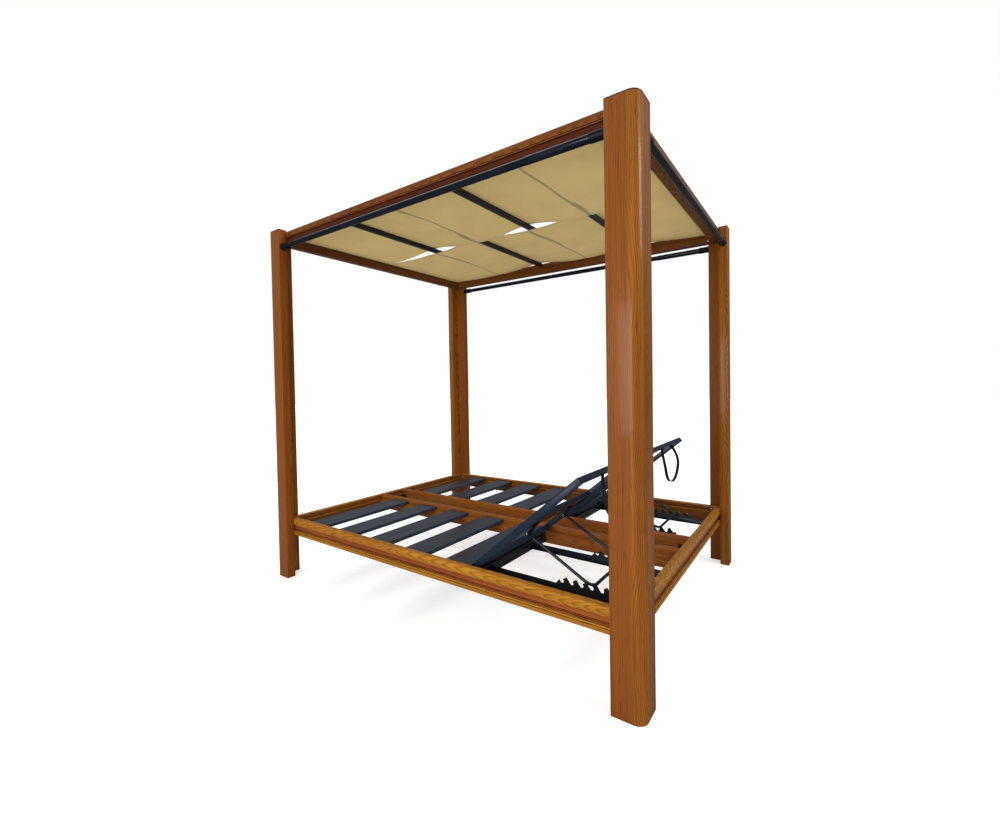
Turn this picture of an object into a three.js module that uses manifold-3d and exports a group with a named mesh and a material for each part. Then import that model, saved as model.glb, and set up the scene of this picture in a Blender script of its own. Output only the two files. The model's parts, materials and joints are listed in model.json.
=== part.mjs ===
// Outdoor daybed with canopy: two reclining loungers side by side in one frame on four corner posts.
// Millimetres, +Z up. The origin is on the ground under the middle of the frame.
// The head end is +Y, left is +X and right is -X.

import * as THREE from "three";
import { mergeVertices } from "three/addons/utils/BufferGeometryUtils.js";
import Module from "manifold-3d";

const wasm = await Module();
wasm.setup();

// Whole frame
const overallWidth = 1760;
const overallLength = 2275;
const overallHeight = 2100;

// Gap left between pieces that touch, and how far the parts of one piece run into each other
const seatGap = 0.3;
const jointOverlap = 0.5;

// Corner posts: hollow profiles of L section, closed at the foot, with a flat cap on top
const postLegLength = 120;
const postLegThickness = 50;
const postCornerRadius = 40;
const postEdgeRadius = 2;
const postWall = 2.5;
const postCapThickness = 4;

// Frame rails: hollow profiles, mitred at the corners; the canopy beams are lower than the deck rails
const railTopWidth = 33.5;
const railLedgeWidth = 11.5;
const railBandHeight = 36;
const railRecessDepth = 8;
const railEdgeRadius = 3;
const railWall = 2.5;
const deckRail = { prefix: "deck_rail", height: 98, ledgeDrop: 32, lipHeight: 25 };
const canopyBeam = { prefix: "canopy_beam", height: 76, ledgeDrop: 24, lipHeight: 10 };
const deckTop = 350;
const canopyDrop = 6;

// Middle beams: two beams beside the channel between the loungers
const channelHalfWidth = 85;
const middleBeamThickness = 30;
const middleBeamHeight = 92;
const middleLedgeWidth = 20;
const middleBracketWidth = 24;
const middleBracketLength = 34;
const middleBracketHeight = 52;
const middleBeamWall = 2.5;

// Seat slats of each lounger
const slatCount = 5;
const slatWidth = 146;
const slatThickness = 20;
const slatEndGap = 5.5;
const slatEdgeRadius = 3;
const slatWall = 2;
const seatFootRoom = 126.5;
const seatHeadRoom = 724.5;

// Backrest hinge: a cross beam with lugs under the last slat, and a pin in each side tube
const hingeBehindSlat = 18;
const hingeBelowDeckTop = 20;
const hingePinRadius = 4;
const pinClearance = 0.4;
const pinOverhang = 1.5;
const hingeBeamSetback = 2;
const hingeBeamDepth = 26;
const hingeBeamDrop = 47;
const hingeBeamHeight = 41;
const lugThickness = 6;
const lugRadius = 10;
const lugGap = 0.6;

// Backrest frame
const backrestRestAngle = 40.5;
const backrestLength = 685;
const sideTubeThickness = 30;
const sideTubeWidth = 20;
const outerTubeClearance = 20;
const innerTubeClearance = 12;
const crossTubeStart = 33;
const crossTubeSize = 30;
const crossTubeDrop = 3;
const backSlatStart = 283;
const backSlatWidth = 101;
const backSlatThickness = 22;
const topBarSize = 25;
const barWall = 2;

// Strut brackets under the backrest slat, with their bolts
const strutPivotAlong = 252;
const strutPivotBelow = 18;
const bracketThickness = 4;
const bracketRadius = 12;
const bracketSlant = 135;
const bracketSeatLength = 60;
const bracketGap = 1;
const boltRadius = 4;
const boltHeadRadius = 7;
const boltHeadThickness = 3;

// Support strut: a round bar bent to a U, whose cross bar lies between the two racks
const strutRadius = 7;
const strutBendRadius = 40;
const strutHalfWidth = 176;
const strutEyeRadius = 10.5;
const strutSides = 12;
const strutSteps = 44;

// Adjustment racks: an angle with a toothed plate
const rackGap = 1.5;
const rackPlateThickness = 3;
const rackAngleSize = 27;
const rackFlangeWidth = 25;
const rackAboveHingeBeam = 8;
const rackToothCount = 5;
const rackToothPitch = 45;
const rackToothLean = 35;
const rackToothOverhang = 4;
const rackLastNotchFromHead = 149.5;
const rackNotchAboveAngle = 15;
const rackNotchRadius = 8;
const rackLeadRise = 12;
const rackLeadIn = 16;
const rackTabLength = 9;
const rackTabRun = 46;
const rackRestNotch = 4;

// Pull strap: a loop of webbing that hangs from the top bar
const strapSpan = 185;
const strapDrop = 200;
const strapWidth = 22;
const strapThickness = 2;
const strapBulge = 45;
const strapBulgeRun = 120;
const strapOffCentre = 18.5;
const strapTopWidthShare = 0.8;

// Canopy cross bars and the two woven strips of cloth
const canopyBarCount = 4;
const canopyBarPitch = 380;
const canopyBarWidth = 25;
const canopyBarHeight = 25;
const canopyBarEndGap = 3.5;
const clothThickness = 2;
const clothMiddleGap = 0.4;
const clothSideGap = 5;
const clothHemBearing = 9;
const clothSag = 3;
const clothSpanSteps = 10;

// Curtain rods between the posts
const rodBelowPostTop = 103;
const rodRadius = 16.5;
const rodInnerRadius = 15;
const rodJointFromEnd = 320;
const rodBoreRadius = 13;
const rodFlangeRadius = 21;
const rodFlangeThickness = 5;
const rodSocketRadius = 19;
const rodSocketLength = 22;
const rodSides = 20;

// Steps on rounded corners
const smallCornerSteps = 2;
const largeCornerSteps = 8;
const holeSides = 20;

// Places that follow from the sizes
const halfWidth = overallWidth / 2;
const halfLength = overallLength / 2;
const nestX = halfWidth - postLegThickness;
const nestY = halfLength - postLegThickness;
const railReach = railTopWidth + railLedgeWidth;
const canopyTop = overallHeight - canopyDrop;
const bayOuterX = nestX - railReach;
const bayInnerX = channelHalfWidth + middleBeamThickness + middleLedgeWidth;
const bayHeadY = nestY - railReach;
const deckLedgeZ = deckTop - deckRail.ledgeDrop;
const canopyLedgeZ = canopyTop - canopyBeam.ledgeDrop;
const seatHeadEdge = bayHeadY - seatHeadRoom;
const slatPitch = (seatHeadEdge - slatWidth + bayHeadY - seatFootRoom) / (slatCount - 1);
const hingeY = seatHeadEdge + hingeBehindSlat;
const hingeZ = deckTop - hingeBelowDeckTop;
const hingeBeamY = seatHeadEdge + hingeBeamSetback;
const hingeBeamTop = deckTop - hingeBeamDrop;
const backrestOuterX = bayOuterX - outerTubeClearance;
const backrestInnerX = bayInnerX + innerTubeClearance;
const loungerX = (backrestOuterX + backrestInnerX) / 2;
const rackBottom = hingeBeamTop - hingeBeamHeight + rackAboveHingeBeam;
const rackAngleTop = rackBottom + rackAngleSize;
const notchZ = rackAngleTop + rackNotchAboveAngle;
const lastNotchY = bayHeadY - rackLastNotchFromHead;
const restAngle = THREE.MathUtils.degToRad(backrestRestAngle);
const bracketStartAngle = THREE.MathUtils.degToRad(bracketSlant);

// Materials, one for each finish
const finish = {
  woodFoil: new THREE.MeshStandardMaterial({ color: 0x965528, roughness: 0.38, metalness: 0.1 }),
  slateMetal: new THREE.MeshStandardMaterial({ color: 0x3a4654, roughness: 0.45, metalness: 0.6 }),
  blackSteel: new THREE.MeshStandardMaterial({ color: 0x23282e, roughness: 0.4, metalness: 0.7 }),
  canvas: new THREE.MeshStandardMaterial({ color: 0xb8a36b, roughness: 0.9, metalness: 0 }),
  webbing: new THREE.MeshStandardMaterial({ color: 0x15171a, roughness: 0.85, metalness: 0 }),
};

// Outlines

function point(x, y) {
  return new THREE.Vector2(x, y);
}

// The outline with each corner rounded by its own radius; a radius of zero keeps the corner sharp.
function rounded(corners, radii, steps = corners.map(() => smallCornerSteps)) {
  const out = [];
  corners.forEach((corner, i) => {
    const radius = radii[i];
    if (radius <= 0) {
      out.push(corner.clone());
      return;
    }
    const before = corners[(i + corners.length - 1) % corners.length].clone().sub(corner).normalize();
    const after = corners[(i + 1) % corners.length].clone().sub(corner).normalize();
    const half = Math.acos(THREE.MathUtils.clamp(before.dot(after), -1, 1)) / 2;
    const middle = before.clone().add(after).normalize();
    const centre = corner.clone().addScaledVector(middle, radius / Math.sin(half));
    const from = corner.clone().addScaledVector(before, radius / Math.tan(half)).sub(centre);
    const to = corner.clone().addScaledVector(after, radius / Math.tan(half)).sub(centre);
    const sweep = Math.atan2(from.cross(to), from.dot(to));
    for (let k = 0; k <= steps[i]; k += 1) {
      out.push(from.clone().rotateAround(point(0, 0), (sweep * k) / steps[i]).add(centre));
    }
  });
  return out;
}

// The outline moved inwards by a wall; the outline runs anticlockwise.
function inset(outline, wall) {
  return outline.map((corner, i) => {
    const before = outline[(i + outline.length - 1) % outline.length];
    const after = outline[(i + 1) % outline.length];
    const one = corner.clone().sub(before).normalize();
    const two = after.clone().sub(corner).normalize();
    const inward = point(-one.y - two.y, one.x + two.x);
    return corner.clone().addScaledVector(inward, wall / (1 + one.dot(two)));
  });
}

function rectangle(x0, y0, x1, y1) {
  return [point(x0, y0), point(x1, y0), point(x1, y1), point(x0, y1)];
}

function circle(x, y, radius, sides = holeSides) {
  return Array.from({ length: sides }, (_, i) => {
    const turn = (2 * Math.PI * i) / sides;
    return point(x + radius * Math.cos(turn), y + radius * Math.sin(turn));
  });
}

// Solids

function prism(outline, depth, holes = []) {
  const shape = new THREE.Shape(outline);
  shape.holes = holes.map((hole) => new THREE.Path(hole));
  return new THREE.ExtrudeGeometry(shape, { depth, bevelEnabled: false });
}

function alongZ(outline, z0, z1, holes = []) {
  return prism(outline, z1 - z0, holes).translate(0, 0, z0);
}

// The outline lies in Y and Z, and the solid runs along X.
function alongX(outline, x0, x1, holes = []) {
  const turned = new THREE.Matrix4().set(0, 0, 1, x0, 1, 0, 0, 0, 0, 1, 0, 0, 0, 0, 0, 1);
  return prism(outline, x1 - x0, holes).applyMatrix4(turned);
}

// The outline lies in X and Z, and the solid runs along Y.
function alongY(outline, y0, y1, holes = []) {
  const turned = new THREE.Matrix4().set(1, 0, 0, 0, 0, 0, -1, y1, 0, 1, 0, 0, 0, 0, 0, 1);
  return prism(outline, y1 - y0, holes).applyMatrix4(turned);
}

function solidOf(geometry) {
  const plain = new THREE.BufferGeometry();
  plain.setAttribute("position", geometry.getAttribute("position"));
  if (geometry.index) {
    plain.setIndex(geometry.index);
  }
  const merged = mergeVertices(plain);
  return new wasm.Manifold(new wasm.Mesh({
    numProp: 3,
    vertProperties: new Float32Array(merged.getAttribute("position").array),
    triVerts: new Uint32Array(merged.index.array),
  }));
}

function geometryOf(solid) {
  const mesh = solid.getMesh();
  const geometry = new THREE.BufferGeometry();
  geometry.setAttribute("position", new THREE.BufferAttribute(mesh.vertProperties, 3));
  geometry.setIndex(new THREE.BufferAttribute(mesh.triVerts, 1));
  const flat = geometry.toNonIndexed();
  flat.computeVertexNormals();
  return flat;
}

function union(parts) {
  return geometryOf(parts.map(solidOf).reduce((sum, part) => sum.add(part)));
}

function difference(body, cut) {
  return geometryOf(solidOf(body).subtract(solidOf(cut)));
}

const daybed = new THREE.Group();

function place(parent, name, geometry, material) {
  const mesh = new THREE.Mesh(geometry, material);
  mesh.name = name;
  parent.add(mesh);
  return mesh;
}

const sides = [
  { name: "left", sign: 1 },
  { name: "right", sign: -1 },
];
const rackPlaces = [
  { name: "outer", sign: 1 },
  { name: "inner", sign: -1 },
];
const ends = [
  { name: "head", sign: 1 },
  { name: "foot", sign: -1 },
];

// A span between two distances from the middle plane, on the side given by sign
function span(sign, near, far) {
  return sign > 0 ? [near, far] : [-far, -near];
}

// Corner posts

function postOutline(signX, signY) {
  const corners = [
    point(0, 0),
    point(postLegLength, 0),
    point(postLegLength, postLegThickness),
    point(postLegThickness, postLegThickness),
    point(postLegThickness, postLegLength),
    point(0, postLegLength),
  ];
  const radii = [
    postCornerRadius,
    postEdgeRadius,
    postEdgeRadius,
    0,
    postEdgeRadius,
    postEdgeRadius,
  ];
  const steps = corners.map((_, i) => (i === 0 ? largeCornerSteps : smallCornerSteps));
  const outline = rounded(corners, radii, steps);
  const placed = outline.map((p) => point(signX * (halfWidth - p.x), signY * (halfLength - p.y)));
  return signX * signY > 0 ? placed : placed.reverse();
}

function buildPosts() {
  const tubeTop = overallHeight - postCapThickness - seatGap;
  for (const end of ends) {
    for (const side of sides) {
      const outline = postOutline(side.sign, end.sign);
      const tube = alongZ(outline, postWall - jointOverlap, tubeTop, [inset(outline, postWall)]);
      const sole = alongZ(outline, 0, postWall);
      const cap = alongZ(outline, tubeTop + seatGap, overallHeight);
      place(daybed, `corner_post_${end.name}_${side.name}`, union([tube, sole]), finish.woodFoil);
      place(daybed, `post_cap_${end.name}_${side.name}`, cap, finish.woodFoil);
    }
  }
}

// Frame rails: the outline lies in depth behind the outer face, which is minus Y, and in height.

function railOutline(profile, top) {
  const bandZ = top - railBandHeight;
  const bottomZ = top - profile.height;
  const lipZ = bottomZ + profile.lipHeight;
  const corners = [
    point(0, top),
    point(0, bandZ),
    point(-railRecessDepth, bandZ),
    point(-railRecessDepth, lipZ),
    point(0, lipZ),
    point(0, bottomZ),
    point(-railReach, bottomZ),
    point(-railReach, top - profile.ledgeDrop),
    point(-railTopWidth, top - profile.ledgeDrop),
    point(-railTopWidth, top),
  ];
  const radii = corners.map((_, i) => (i === 0 ? railEdgeRadius : 0));
  return rounded(corners, radii).reverse();
}

// One rail, with its outer face at Y 0 and its ends mitred towards the inside.
function railGeometry(profile, top, halfRun) {
  const outline = railOutline(profile, top);
  const geometry = alongX(outline, -halfRun, halfRun, [inset(outline, railWall)]);
  const position = geometry.getAttribute("position");
  for (let i = 0; i < position.count; i += 1) {
    const depth = -position.getY(i);
    position.setX(i, Math.sign(position.getX(i)) * (halfRun - depth));
  }
  return geometry;
}

function buildRails(profile, top) {
  for (const end of ends) {
    const geometry = railGeometry(profile, top, nestX - 2 * seatGap);
    const rail = place(daybed, `${profile.prefix}_${end.name}`, geometry, finish.woodFoil);
    rail.position.y = end.sign * (nestY - seatGap);
    rail.rotation.z = end.sign > 0 ? 0 : Math.PI;
  }
  for (const side of sides) {
    const geometry = railGeometry(profile, top, nestY - 2 * seatGap);
    const rail = place(daybed, `${profile.prefix}_${side.name}`, geometry, finish.woodFoil);
    rail.position.x = side.sign * (nestX - seatGap);
    rail.rotation.z = (-side.sign * Math.PI) / 2;
  }
}

// Middle beams, stepped at both ends over the ledges of the head and foot rails

function buildMiddleBeams() {
  const lowY = bayHeadY - 2 * seatGap;
  const highY = nestY - railTopWidth - 2 * seatGap;
  const bottom = deckTop - middleBeamHeight;
  const stepZ = deckLedgeZ + seatGap;
  const outline = [
    point(-lowY, bottom),
    point(lowY, bottom),
    point(lowY, stepZ),
    point(highY, stepZ),
    point(highY, deckTop),
    point(-highY, deckTop),
    point(-highY, stepZ),
    point(-lowY, stepZ),
  ];
  for (const side of sides) {
    const web = span(side.sign, channelHalfWidth, channelHalfWidth + middleBeamThickness);
    const ledge = span(side.sign, channelHalfWidth + middleBeamThickness - jointOverlap, bayInnerX);
    const bracket = span(side.sign, channelHalfWidth - middleBracketWidth, channelHalfWidth + jointOverlap);
    const parts = [
      alongX(outline, ...web),
      alongX(rectangle(-lowY, bottom, lowY, deckLedgeZ), ...ledge),
    ];
    for (const end of ends) {
      const run = span(end.sign, lowY - middleBracketLength, lowY);
      const block = rectangle(run[0], bottom + jointOverlap, run[1], bottom + middleBracketHeight);
      parts.push(alongX(block, ...bracket));
    }
    const bore = rectangle(-halfLength, bottom + middleBeamWall, halfLength, deckTop - middleBeamWall);
    const core = span(
      side.sign,
      channelHalfWidth + middleBeamWall,
      channelHalfWidth + middleBeamThickness - middleBeamWall,
    );
    const beam = difference(union(parts), alongX(bore, ...core));
    place(daybed, `middle_beam_${side.name}`, beam, finish.woodFoil);
  }
}

// Seat slats, lying across the ledges of the side rail and the middle beam

function buildSlats(side) {
  const innerX = channelHalfWidth + middleBeamThickness + slatEndGap;
  const outerX = nestX - railTopWidth - slatEndGap;
  const z0 = deckLedgeZ + seatGap;
  for (let i = 0; i < slatCount; i += 1) {
    const headEdge = seatHeadEdge - (slatCount - 1 - i) * slatPitch;
    const corners = rectangle(headEdge - slatWidth, z0, headEdge, z0 + slatThickness);
    const outline = rounded(corners, corners.map(() => slatEdgeRadius));
    const geometry = alongX(outline, ...span(side.sign, innerX, outerX), [inset(outline, slatWall)]);
    place(daybed, `seat_slat_${side.name}_${i + 1}`, geometry, finish.slateMetal);
  }
}

// Hinge beam with one lug beside each side tube, on the side towards the middle of the lounger

function buildHingeBeam(side) {
  const section = rectangle(
    hingeBeamY,
    hingeBeamTop - hingeBeamHeight,
    hingeBeamY + hingeBeamDepth,
    hingeBeamTop,
  );
  const lugBase = hingeBeamTop - jointOverlap;
  const lug = [point(hingeY - lugRadius, lugBase), point(hingeY + lugRadius, lugBase)];
  for (let i = 0; i <= largeCornerSteps; i += 1) {
    const turn = (Math.PI * i) / largeCornerSteps;
    lug.push(point(hingeY + lugRadius * Math.cos(turn), hingeZ + lugRadius * Math.sin(turn)));
  }
  const hole = circle(hingeY, hingeZ, hingePinRadius + pinClearance);
  const innerLug = backrestInnerX + sideTubeWidth + lugGap;
  const outerLug = backrestOuterX - sideTubeWidth - lugGap;
  const parts = [
    alongX(section, ...span(side.sign, bayInnerX + seatGap, bayOuterX - 2 * seatGap)),
    alongX(lug, ...span(side.sign, innerLug, innerLug + lugThickness), [hole]),
    alongX(lug, ...span(side.sign, outerLug - lugThickness, outerLug), [hole]),
  ];
  place(daybed, `hinge_beam_${side.name}`, union(parts), finish.blackSteel);
}

// Adjustment racks: blunt teeth that lean towards the foot end, with a round notch below each

function notchY(number) {
  return lastNotchY - (rackToothCount - number) * rackToothPitch;
}

function rackOutline() {
  const lean = THREE.MathUtils.degToRad(rackToothLean);
  const up = point(-Math.sin(lean), Math.cos(lean));
  const across = point(Math.cos(lean), Math.sin(lean));
  const toothWidth = rackToothPitch * across.x - 2 * rackNotchRadius;
  const fromNotch = (number, sideways, upwards) =>
    point(notchY(number), notchZ).addScaledVector(across, sideways).addScaledVector(up, upwards);

  const start = hingeBeamY + hingeBeamDepth + seatGap;
  const stop = bayHeadY - 2 * seatGap;
  const outline = [point(start, rackBottom), point(stop, rackBottom), point(stop, rackAngleTop)];
  const tabStart = lastNotchY + rackTabRun;
  const pastLast = fromNotch(rackToothCount + 1, -rackNotchRadius, 0);
  outline.push(point(tabStart + rackTabLength, rackAngleTop));
  outline.push(point(tabStart + rackTabLength, notchZ));
  outline.push(point(tabStart, notchZ));
  outline.push(point(tabStart, pastLast.y));
  outline.push(pastLast);
  for (let tooth = rackToothCount; tooth >= 1; tooth -= 1) {
    outline.push(fromNotch(tooth, rackNotchRadius + toothWidth, rackToothOverhang));
    outline.push(fromNotch(tooth, rackNotchRadius, rackToothOverhang));
    for (let i = 0; i <= largeCornerSteps; i += 1) {
      const turn = (-Math.PI * i) / largeCornerSteps;
      outline.push(fromNotch(tooth, rackNotchRadius * Math.cos(turn), rackNotchRadius * Math.sin(turn)));
    }
  }
  const leadTip = fromNotch(1, -rackNotchRadius, rackLeadRise);
  outline.push(leadTip);
  outline.push(point(leadTip.x - rackLeadIn, rackAngleTop));
  outline.push(point(start, rackAngleTop));
  return outline;
}

function buildRacks(side) {
  const plateOffset = strutHalfWidth + strutRadius + rackGap;
  for (const rack of rackPlaces) {
    const centre = side.sign * loungerX;
    const towards = side.sign * rack.sign;
    const plate = span(towards, plateOffset, plateOffset + rackPlateThickness).map((x) => x + centre);
    const outline = rackOutline();
    const flange = rectangle(outline[0].x, rackBottom, outline[1].x, rackBottom + rackPlateThickness);
    const parts = [
      alongX(outline, ...plate),
      alongX(flange, plate[1] - jointOverlap, plate[0] + rackFlangeWidth),
    ];
    place(daybed, `adjustment_rack_${side.name}_${rack.name}`, union(parts), finish.blackSteel);
  }
}

// Backrest: Y runs up the slope from the hinge axis and Z stands square to it.

function buildBackrest(side) {
  const frame = new THREE.Group();
  frame.position.set(0, hingeY, hingeZ);
  frame.rotation.x = restAngle;
  daybed.add(frame);

  const top = sideTubeThickness / 2;
  const tubeOutline = [point(backrestLength, -top), point(backrestLength, top)];
  for (let i = 0; i <= largeCornerSteps; i += 1) {
    const turn = Math.PI / 2 + (Math.PI * i) / largeCornerSteps;
    tubeOutline.push(point(top * Math.cos(turn), top * Math.sin(turn)));
  }
  const pinLength = lugGap + lugThickness + pinOverhang;
  const pin = circle(0, 0, hingePinRadius);
  const outerTube = [backrestOuterX - sideTubeWidth, backrestOuterX];
  const innerTube = [backrestInnerX, backrestInnerX + sideTubeWidth];
  const outerPin = [outerTube[0] - pinLength, outerTube[0] + jointOverlap];
  const innerPin = [innerTube[1] - jointOverlap, innerTube[1] + pinLength];
  const tubes = [
    { name: "outer", run: outerTube, pinRun: outerPin },
    { name: "inner", run: innerTube, pinRun: innerPin },
  ];
  for (const tube of tubes) {
    const parts = [
      alongX(tubeOutline, ...span(side.sign, ...tube.run)),
      alongX(pin, ...span(side.sign, ...tube.pinRun)),
    ];
    place(frame, `backrest_tube_${side.name}_${tube.name}`, union(parts), finish.slateMetal);
  }

  const between = span(side.sign, innerTube[1] + seatGap, outerTube[0] - seatGap);
  const crossTop = top - crossTubeDrop;
  const crossEnd = crossTubeStart + crossTubeSize;
  const crossOutline = rectangle(crossTubeStart, crossTop - crossTubeSize, crossEnd, crossTop);
  const crossTube = alongX(crossOutline, ...between, [inset(crossOutline, barWall)]);
  const topOutline = rectangle(backrestLength - topBarSize, top - topBarSize, backrestLength, top);
  const topBar = alongX(topOutline, ...between, [inset(topOutline, barWall)]);
  place(frame, `backrest_cross_tube_${side.name}`, crossTube, finish.slateMetal);
  place(frame, `backrest_top_bar_${side.name}`, topBar, finish.slateMetal);
  place(frame, `backrest_slat_${side.name}`, backrestSlat(side, between, top), finish.slateMetal);
  buildStrut(side, frame);
}

// The backrest slat carries two bracket plates, and each holds the bolt of one strut leg.
function backrestSlat(side, between, top) {
  const under = top - backSlatThickness;
  const slat = rectangle(backSlatStart, under, backSlatStart + backSlatWidth, top);
  const slatOutline = rounded(slat, slat.map(() => slatEdgeRadius));
  const parts = [alongX(slatOutline, ...between, [inset(slatOutline, slatWall)])];
  const seat0 = backSlatStart + slatEdgeRadius;
  const outline = [
    point(seat0 + bracketSeatLength, under + jointOverlap),
    point(seat0, under + jointOverlap),
  ];
  for (let i = 0; i <= largeCornerSteps; i += 1) {
    const turn = bracketStartAngle + (Math.PI * i) / largeCornerSteps;
    outline.push(point(
      strutPivotAlong + bracketRadius * Math.cos(turn),
      -strutPivotBelow + bracketRadius * Math.sin(turn),
    ));
  }
  const centre = side.sign * loungerX;
  for (const sign of [1, -1]) {
    const legNear = strutHalfWidth - strutRadius;
    const legFar = strutHalfWidth + strutRadius;
    const plateFar = legNear - bracketGap;
    const shift = (pair) => pair.map((x) => x + centre);
    const plate = shift(span(sign, plateFar - bracketThickness, plateFar));
    const shank = shift(span(sign, plateFar - jointOverlap, legFar + bracketGap + jointOverlap));
    const headFar = legFar + bracketGap + boltHeadThickness;
    const head = shift(span(sign, legFar + bracketGap, headFar));
    parts.push(alongX(outline, ...plate));
    parts.push(alongX(circle(strutPivotAlong, -strutPivotBelow, boltRadius), ...shank));
    parts.push(alongX(circle(strutPivotAlong, -strutPivotBelow, boltHeadRadius), ...head));
  }
  return union(parts);
}

// Support strut, turned from the backrest so that its cross bar lies level with the rest notch

function pivotAt(angle) {
  return {
    y: hingeY + strutPivotAlong * Math.cos(angle) + strutPivotBelow * Math.sin(angle),
    z: hingeZ + strutPivotAlong * Math.sin(angle) - strutPivotBelow * Math.cos(angle),
  };
}

const restPivot = pivotAt(restAngle);
const strutRunY = notchY(rackRestNotch) - restPivot.y;
const strutRunZ = notchZ - restPivot.z;
const strutLength = Math.hypot(strutRunY, strutRunZ);
const strutAngle = Math.atan2(strutRunZ, strutRunY);

// The strut's centre line: a leg, a bend, the cross bar, a bend and a leg
class StrutLine extends THREE.Curve {
  constructor(start) {
    super();
    this.start = start;
  }

  getPoint(t, target = new THREE.Vector3()) {
    const legRun = strutLength - strutBendRadius - this.start;
    const bendRun = (Math.PI / 2) * strutBendRadius;
    const barRun = strutHalfWidth - strutBendRadius;
    const fromMiddle = (2 * t - 1) * (legRun + bendRun + barRun);
    const sign = Math.sign(fromMiddle);
    const run = Math.abs(fromMiddle);
    if (run <= barRun) {
      return target.set(fromMiddle, strutLength, 0);
    }
    if (run >= barRun + bendRun) {
      const legEnd = strutLength - strutBendRadius;
      return target.set(sign * strutHalfWidth, legEnd - (run - barRun - bendRun), 0);
    }
    const turn = (run - barRun) / strutBendRadius;
    return target.set(
      sign * (barRun + strutBendRadius * Math.sin(turn)),
      strutLength - strutBendRadius * (1 - Math.cos(turn)),
      0,
    );
  }
}

function buildStrut(side, frame) {
  const strut = new THREE.Group();
  strut.position.set(side.sign * loungerX, strutPivotAlong, -strutPivotBelow);
  strut.rotation.x = strutAngle - restAngle;
  frame.add(strut);

  const start = boltRadius + pinClearance + (strutEyeRadius - boltRadius - pinClearance) / 2;
  const section = new THREE.Shape(circle(0, 0, strutRadius, strutSides));
  const bar = new THREE.ExtrudeGeometry(section, {
    steps: strutSteps,
    extrudePath: new StrutLine(start),
    bevelEnabled: false,
  });

  const eye = circle(0, 0, strutEyeRadius);
  const hole = circle(0, 0, boltRadius + pinClearance);
  const parts = [bar];
  for (const sign of [1, -1]) {
    const leg = span(sign, strutHalfWidth - strutRadius, strutHalfWidth + strutRadius);
    parts.push(alongX(eye, ...leg, [hole]));
  }
  place(strut, `support_strut_${side.name}`, union(parts), finish.blackSteel);
}

// Pull strap: a U of webbing in X and Z, pushed towards the head end below the bar

function buildStrap(side) {
  const centre = side.sign * (loungerX - strapOffCentre);
  const radius = strapSpan / 2;
  const innerRadius = radius - strapThickness;
  const outline = [];
  const inner = [];
  const legRun = strapDrop - radius;
  const legSteps = largeCornerSteps;
  for (let i = 0; i < legSteps; i += 1) {
    outline.push([radius, (legRun * i) / legSteps]);
    inner.push([innerRadius, (legRun * i) / legSteps]);
  }
  for (let i = 0; i <= 2 * largeCornerSteps; i += 1) {
    const turn = (Math.PI * i) / (2 * largeCornerSteps);
    outline.push([radius * Math.cos(turn), legRun + radius * Math.sin(turn)]);
    inner.push([innerRadius * Math.cos(turn), legRun + innerRadius * Math.sin(turn)]);
  }
  for (let i = legSteps - 1; i >= 0; i -= 1) {
    outline.push([-radius, (legRun * i) / legSteps]);
    inner.push([-innerRadius, (legRun * i) / legSteps]);
  }
  const loop = [...outline, ...inner.reverse()].map(([x, drop]) => point(x, -drop));
  const geometry = alongY(loop, -strapWidth / 2, strapWidth / 2);
  const position = geometry.getAttribute("position");
  const barUnder = sideTubeThickness / 2 - topBarSize;
  const alongMiddle = backrestLength - topBarSize / 2;
  const middleY = hingeY + alongMiddle * Math.cos(restAngle) - barUnder * Math.sin(restAngle);
  const middleZ = hingeZ + alongMiddle * Math.sin(restAngle) + barUnder * Math.cos(restAngle);
  const slope = Math.tan(restAngle);
  const gapZ = seatGap / Math.cos(restAngle);
  for (let i = 0; i < position.count; i += 1) {
    const x = position.getX(i);
    const y = position.getY(i);
    const drop = -position.getZ(i);
    const share = Math.min(drop / strapBulgeRun, 1);
    const ease = share * share * (3 - 2 * share);
    const slant = Math.max(1 - drop / strapBulgeRun, 0);
    position.setXYZ(
      i,
      centre + x,
      middleY + y * (1 - slant * (1 - strapTopWidthShare)) + strapBulge * ease,
      middleZ - gapZ - drop + slant * slope * y * strapTopWidthShare,
    );
  }
  place(daybed, `pull_strap_${side.name}`, geometry, finish.webbing);
}

// Canopy cross bars

function canopyBarY(index) {
  return (index - (canopyBarCount - 1) / 2) * canopyBarPitch;
}

function buildCanopyBars() {
  const reach = nestX - railTopWidth - canopyBarEndGap;
  const z0 = canopyLedgeZ + seatGap;
  for (let i = 0; i < canopyBarCount; i += 1) {
    const y = canopyBarY(i);
    const half = canopyBarWidth / 2;
    const section = rectangle(y - half, z0, y + half, z0 + canopyBarHeight);
    const bar = alongX(section, -reach, reach, [inset(section, barWall)]);
    place(daybed, `canopy_bar_${i + 1}`, bar, finish.blackSteel);
  }
}

// Canopy cloth: each strip runs from the foot beam to the head beam, over one bar and under the next.

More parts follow.
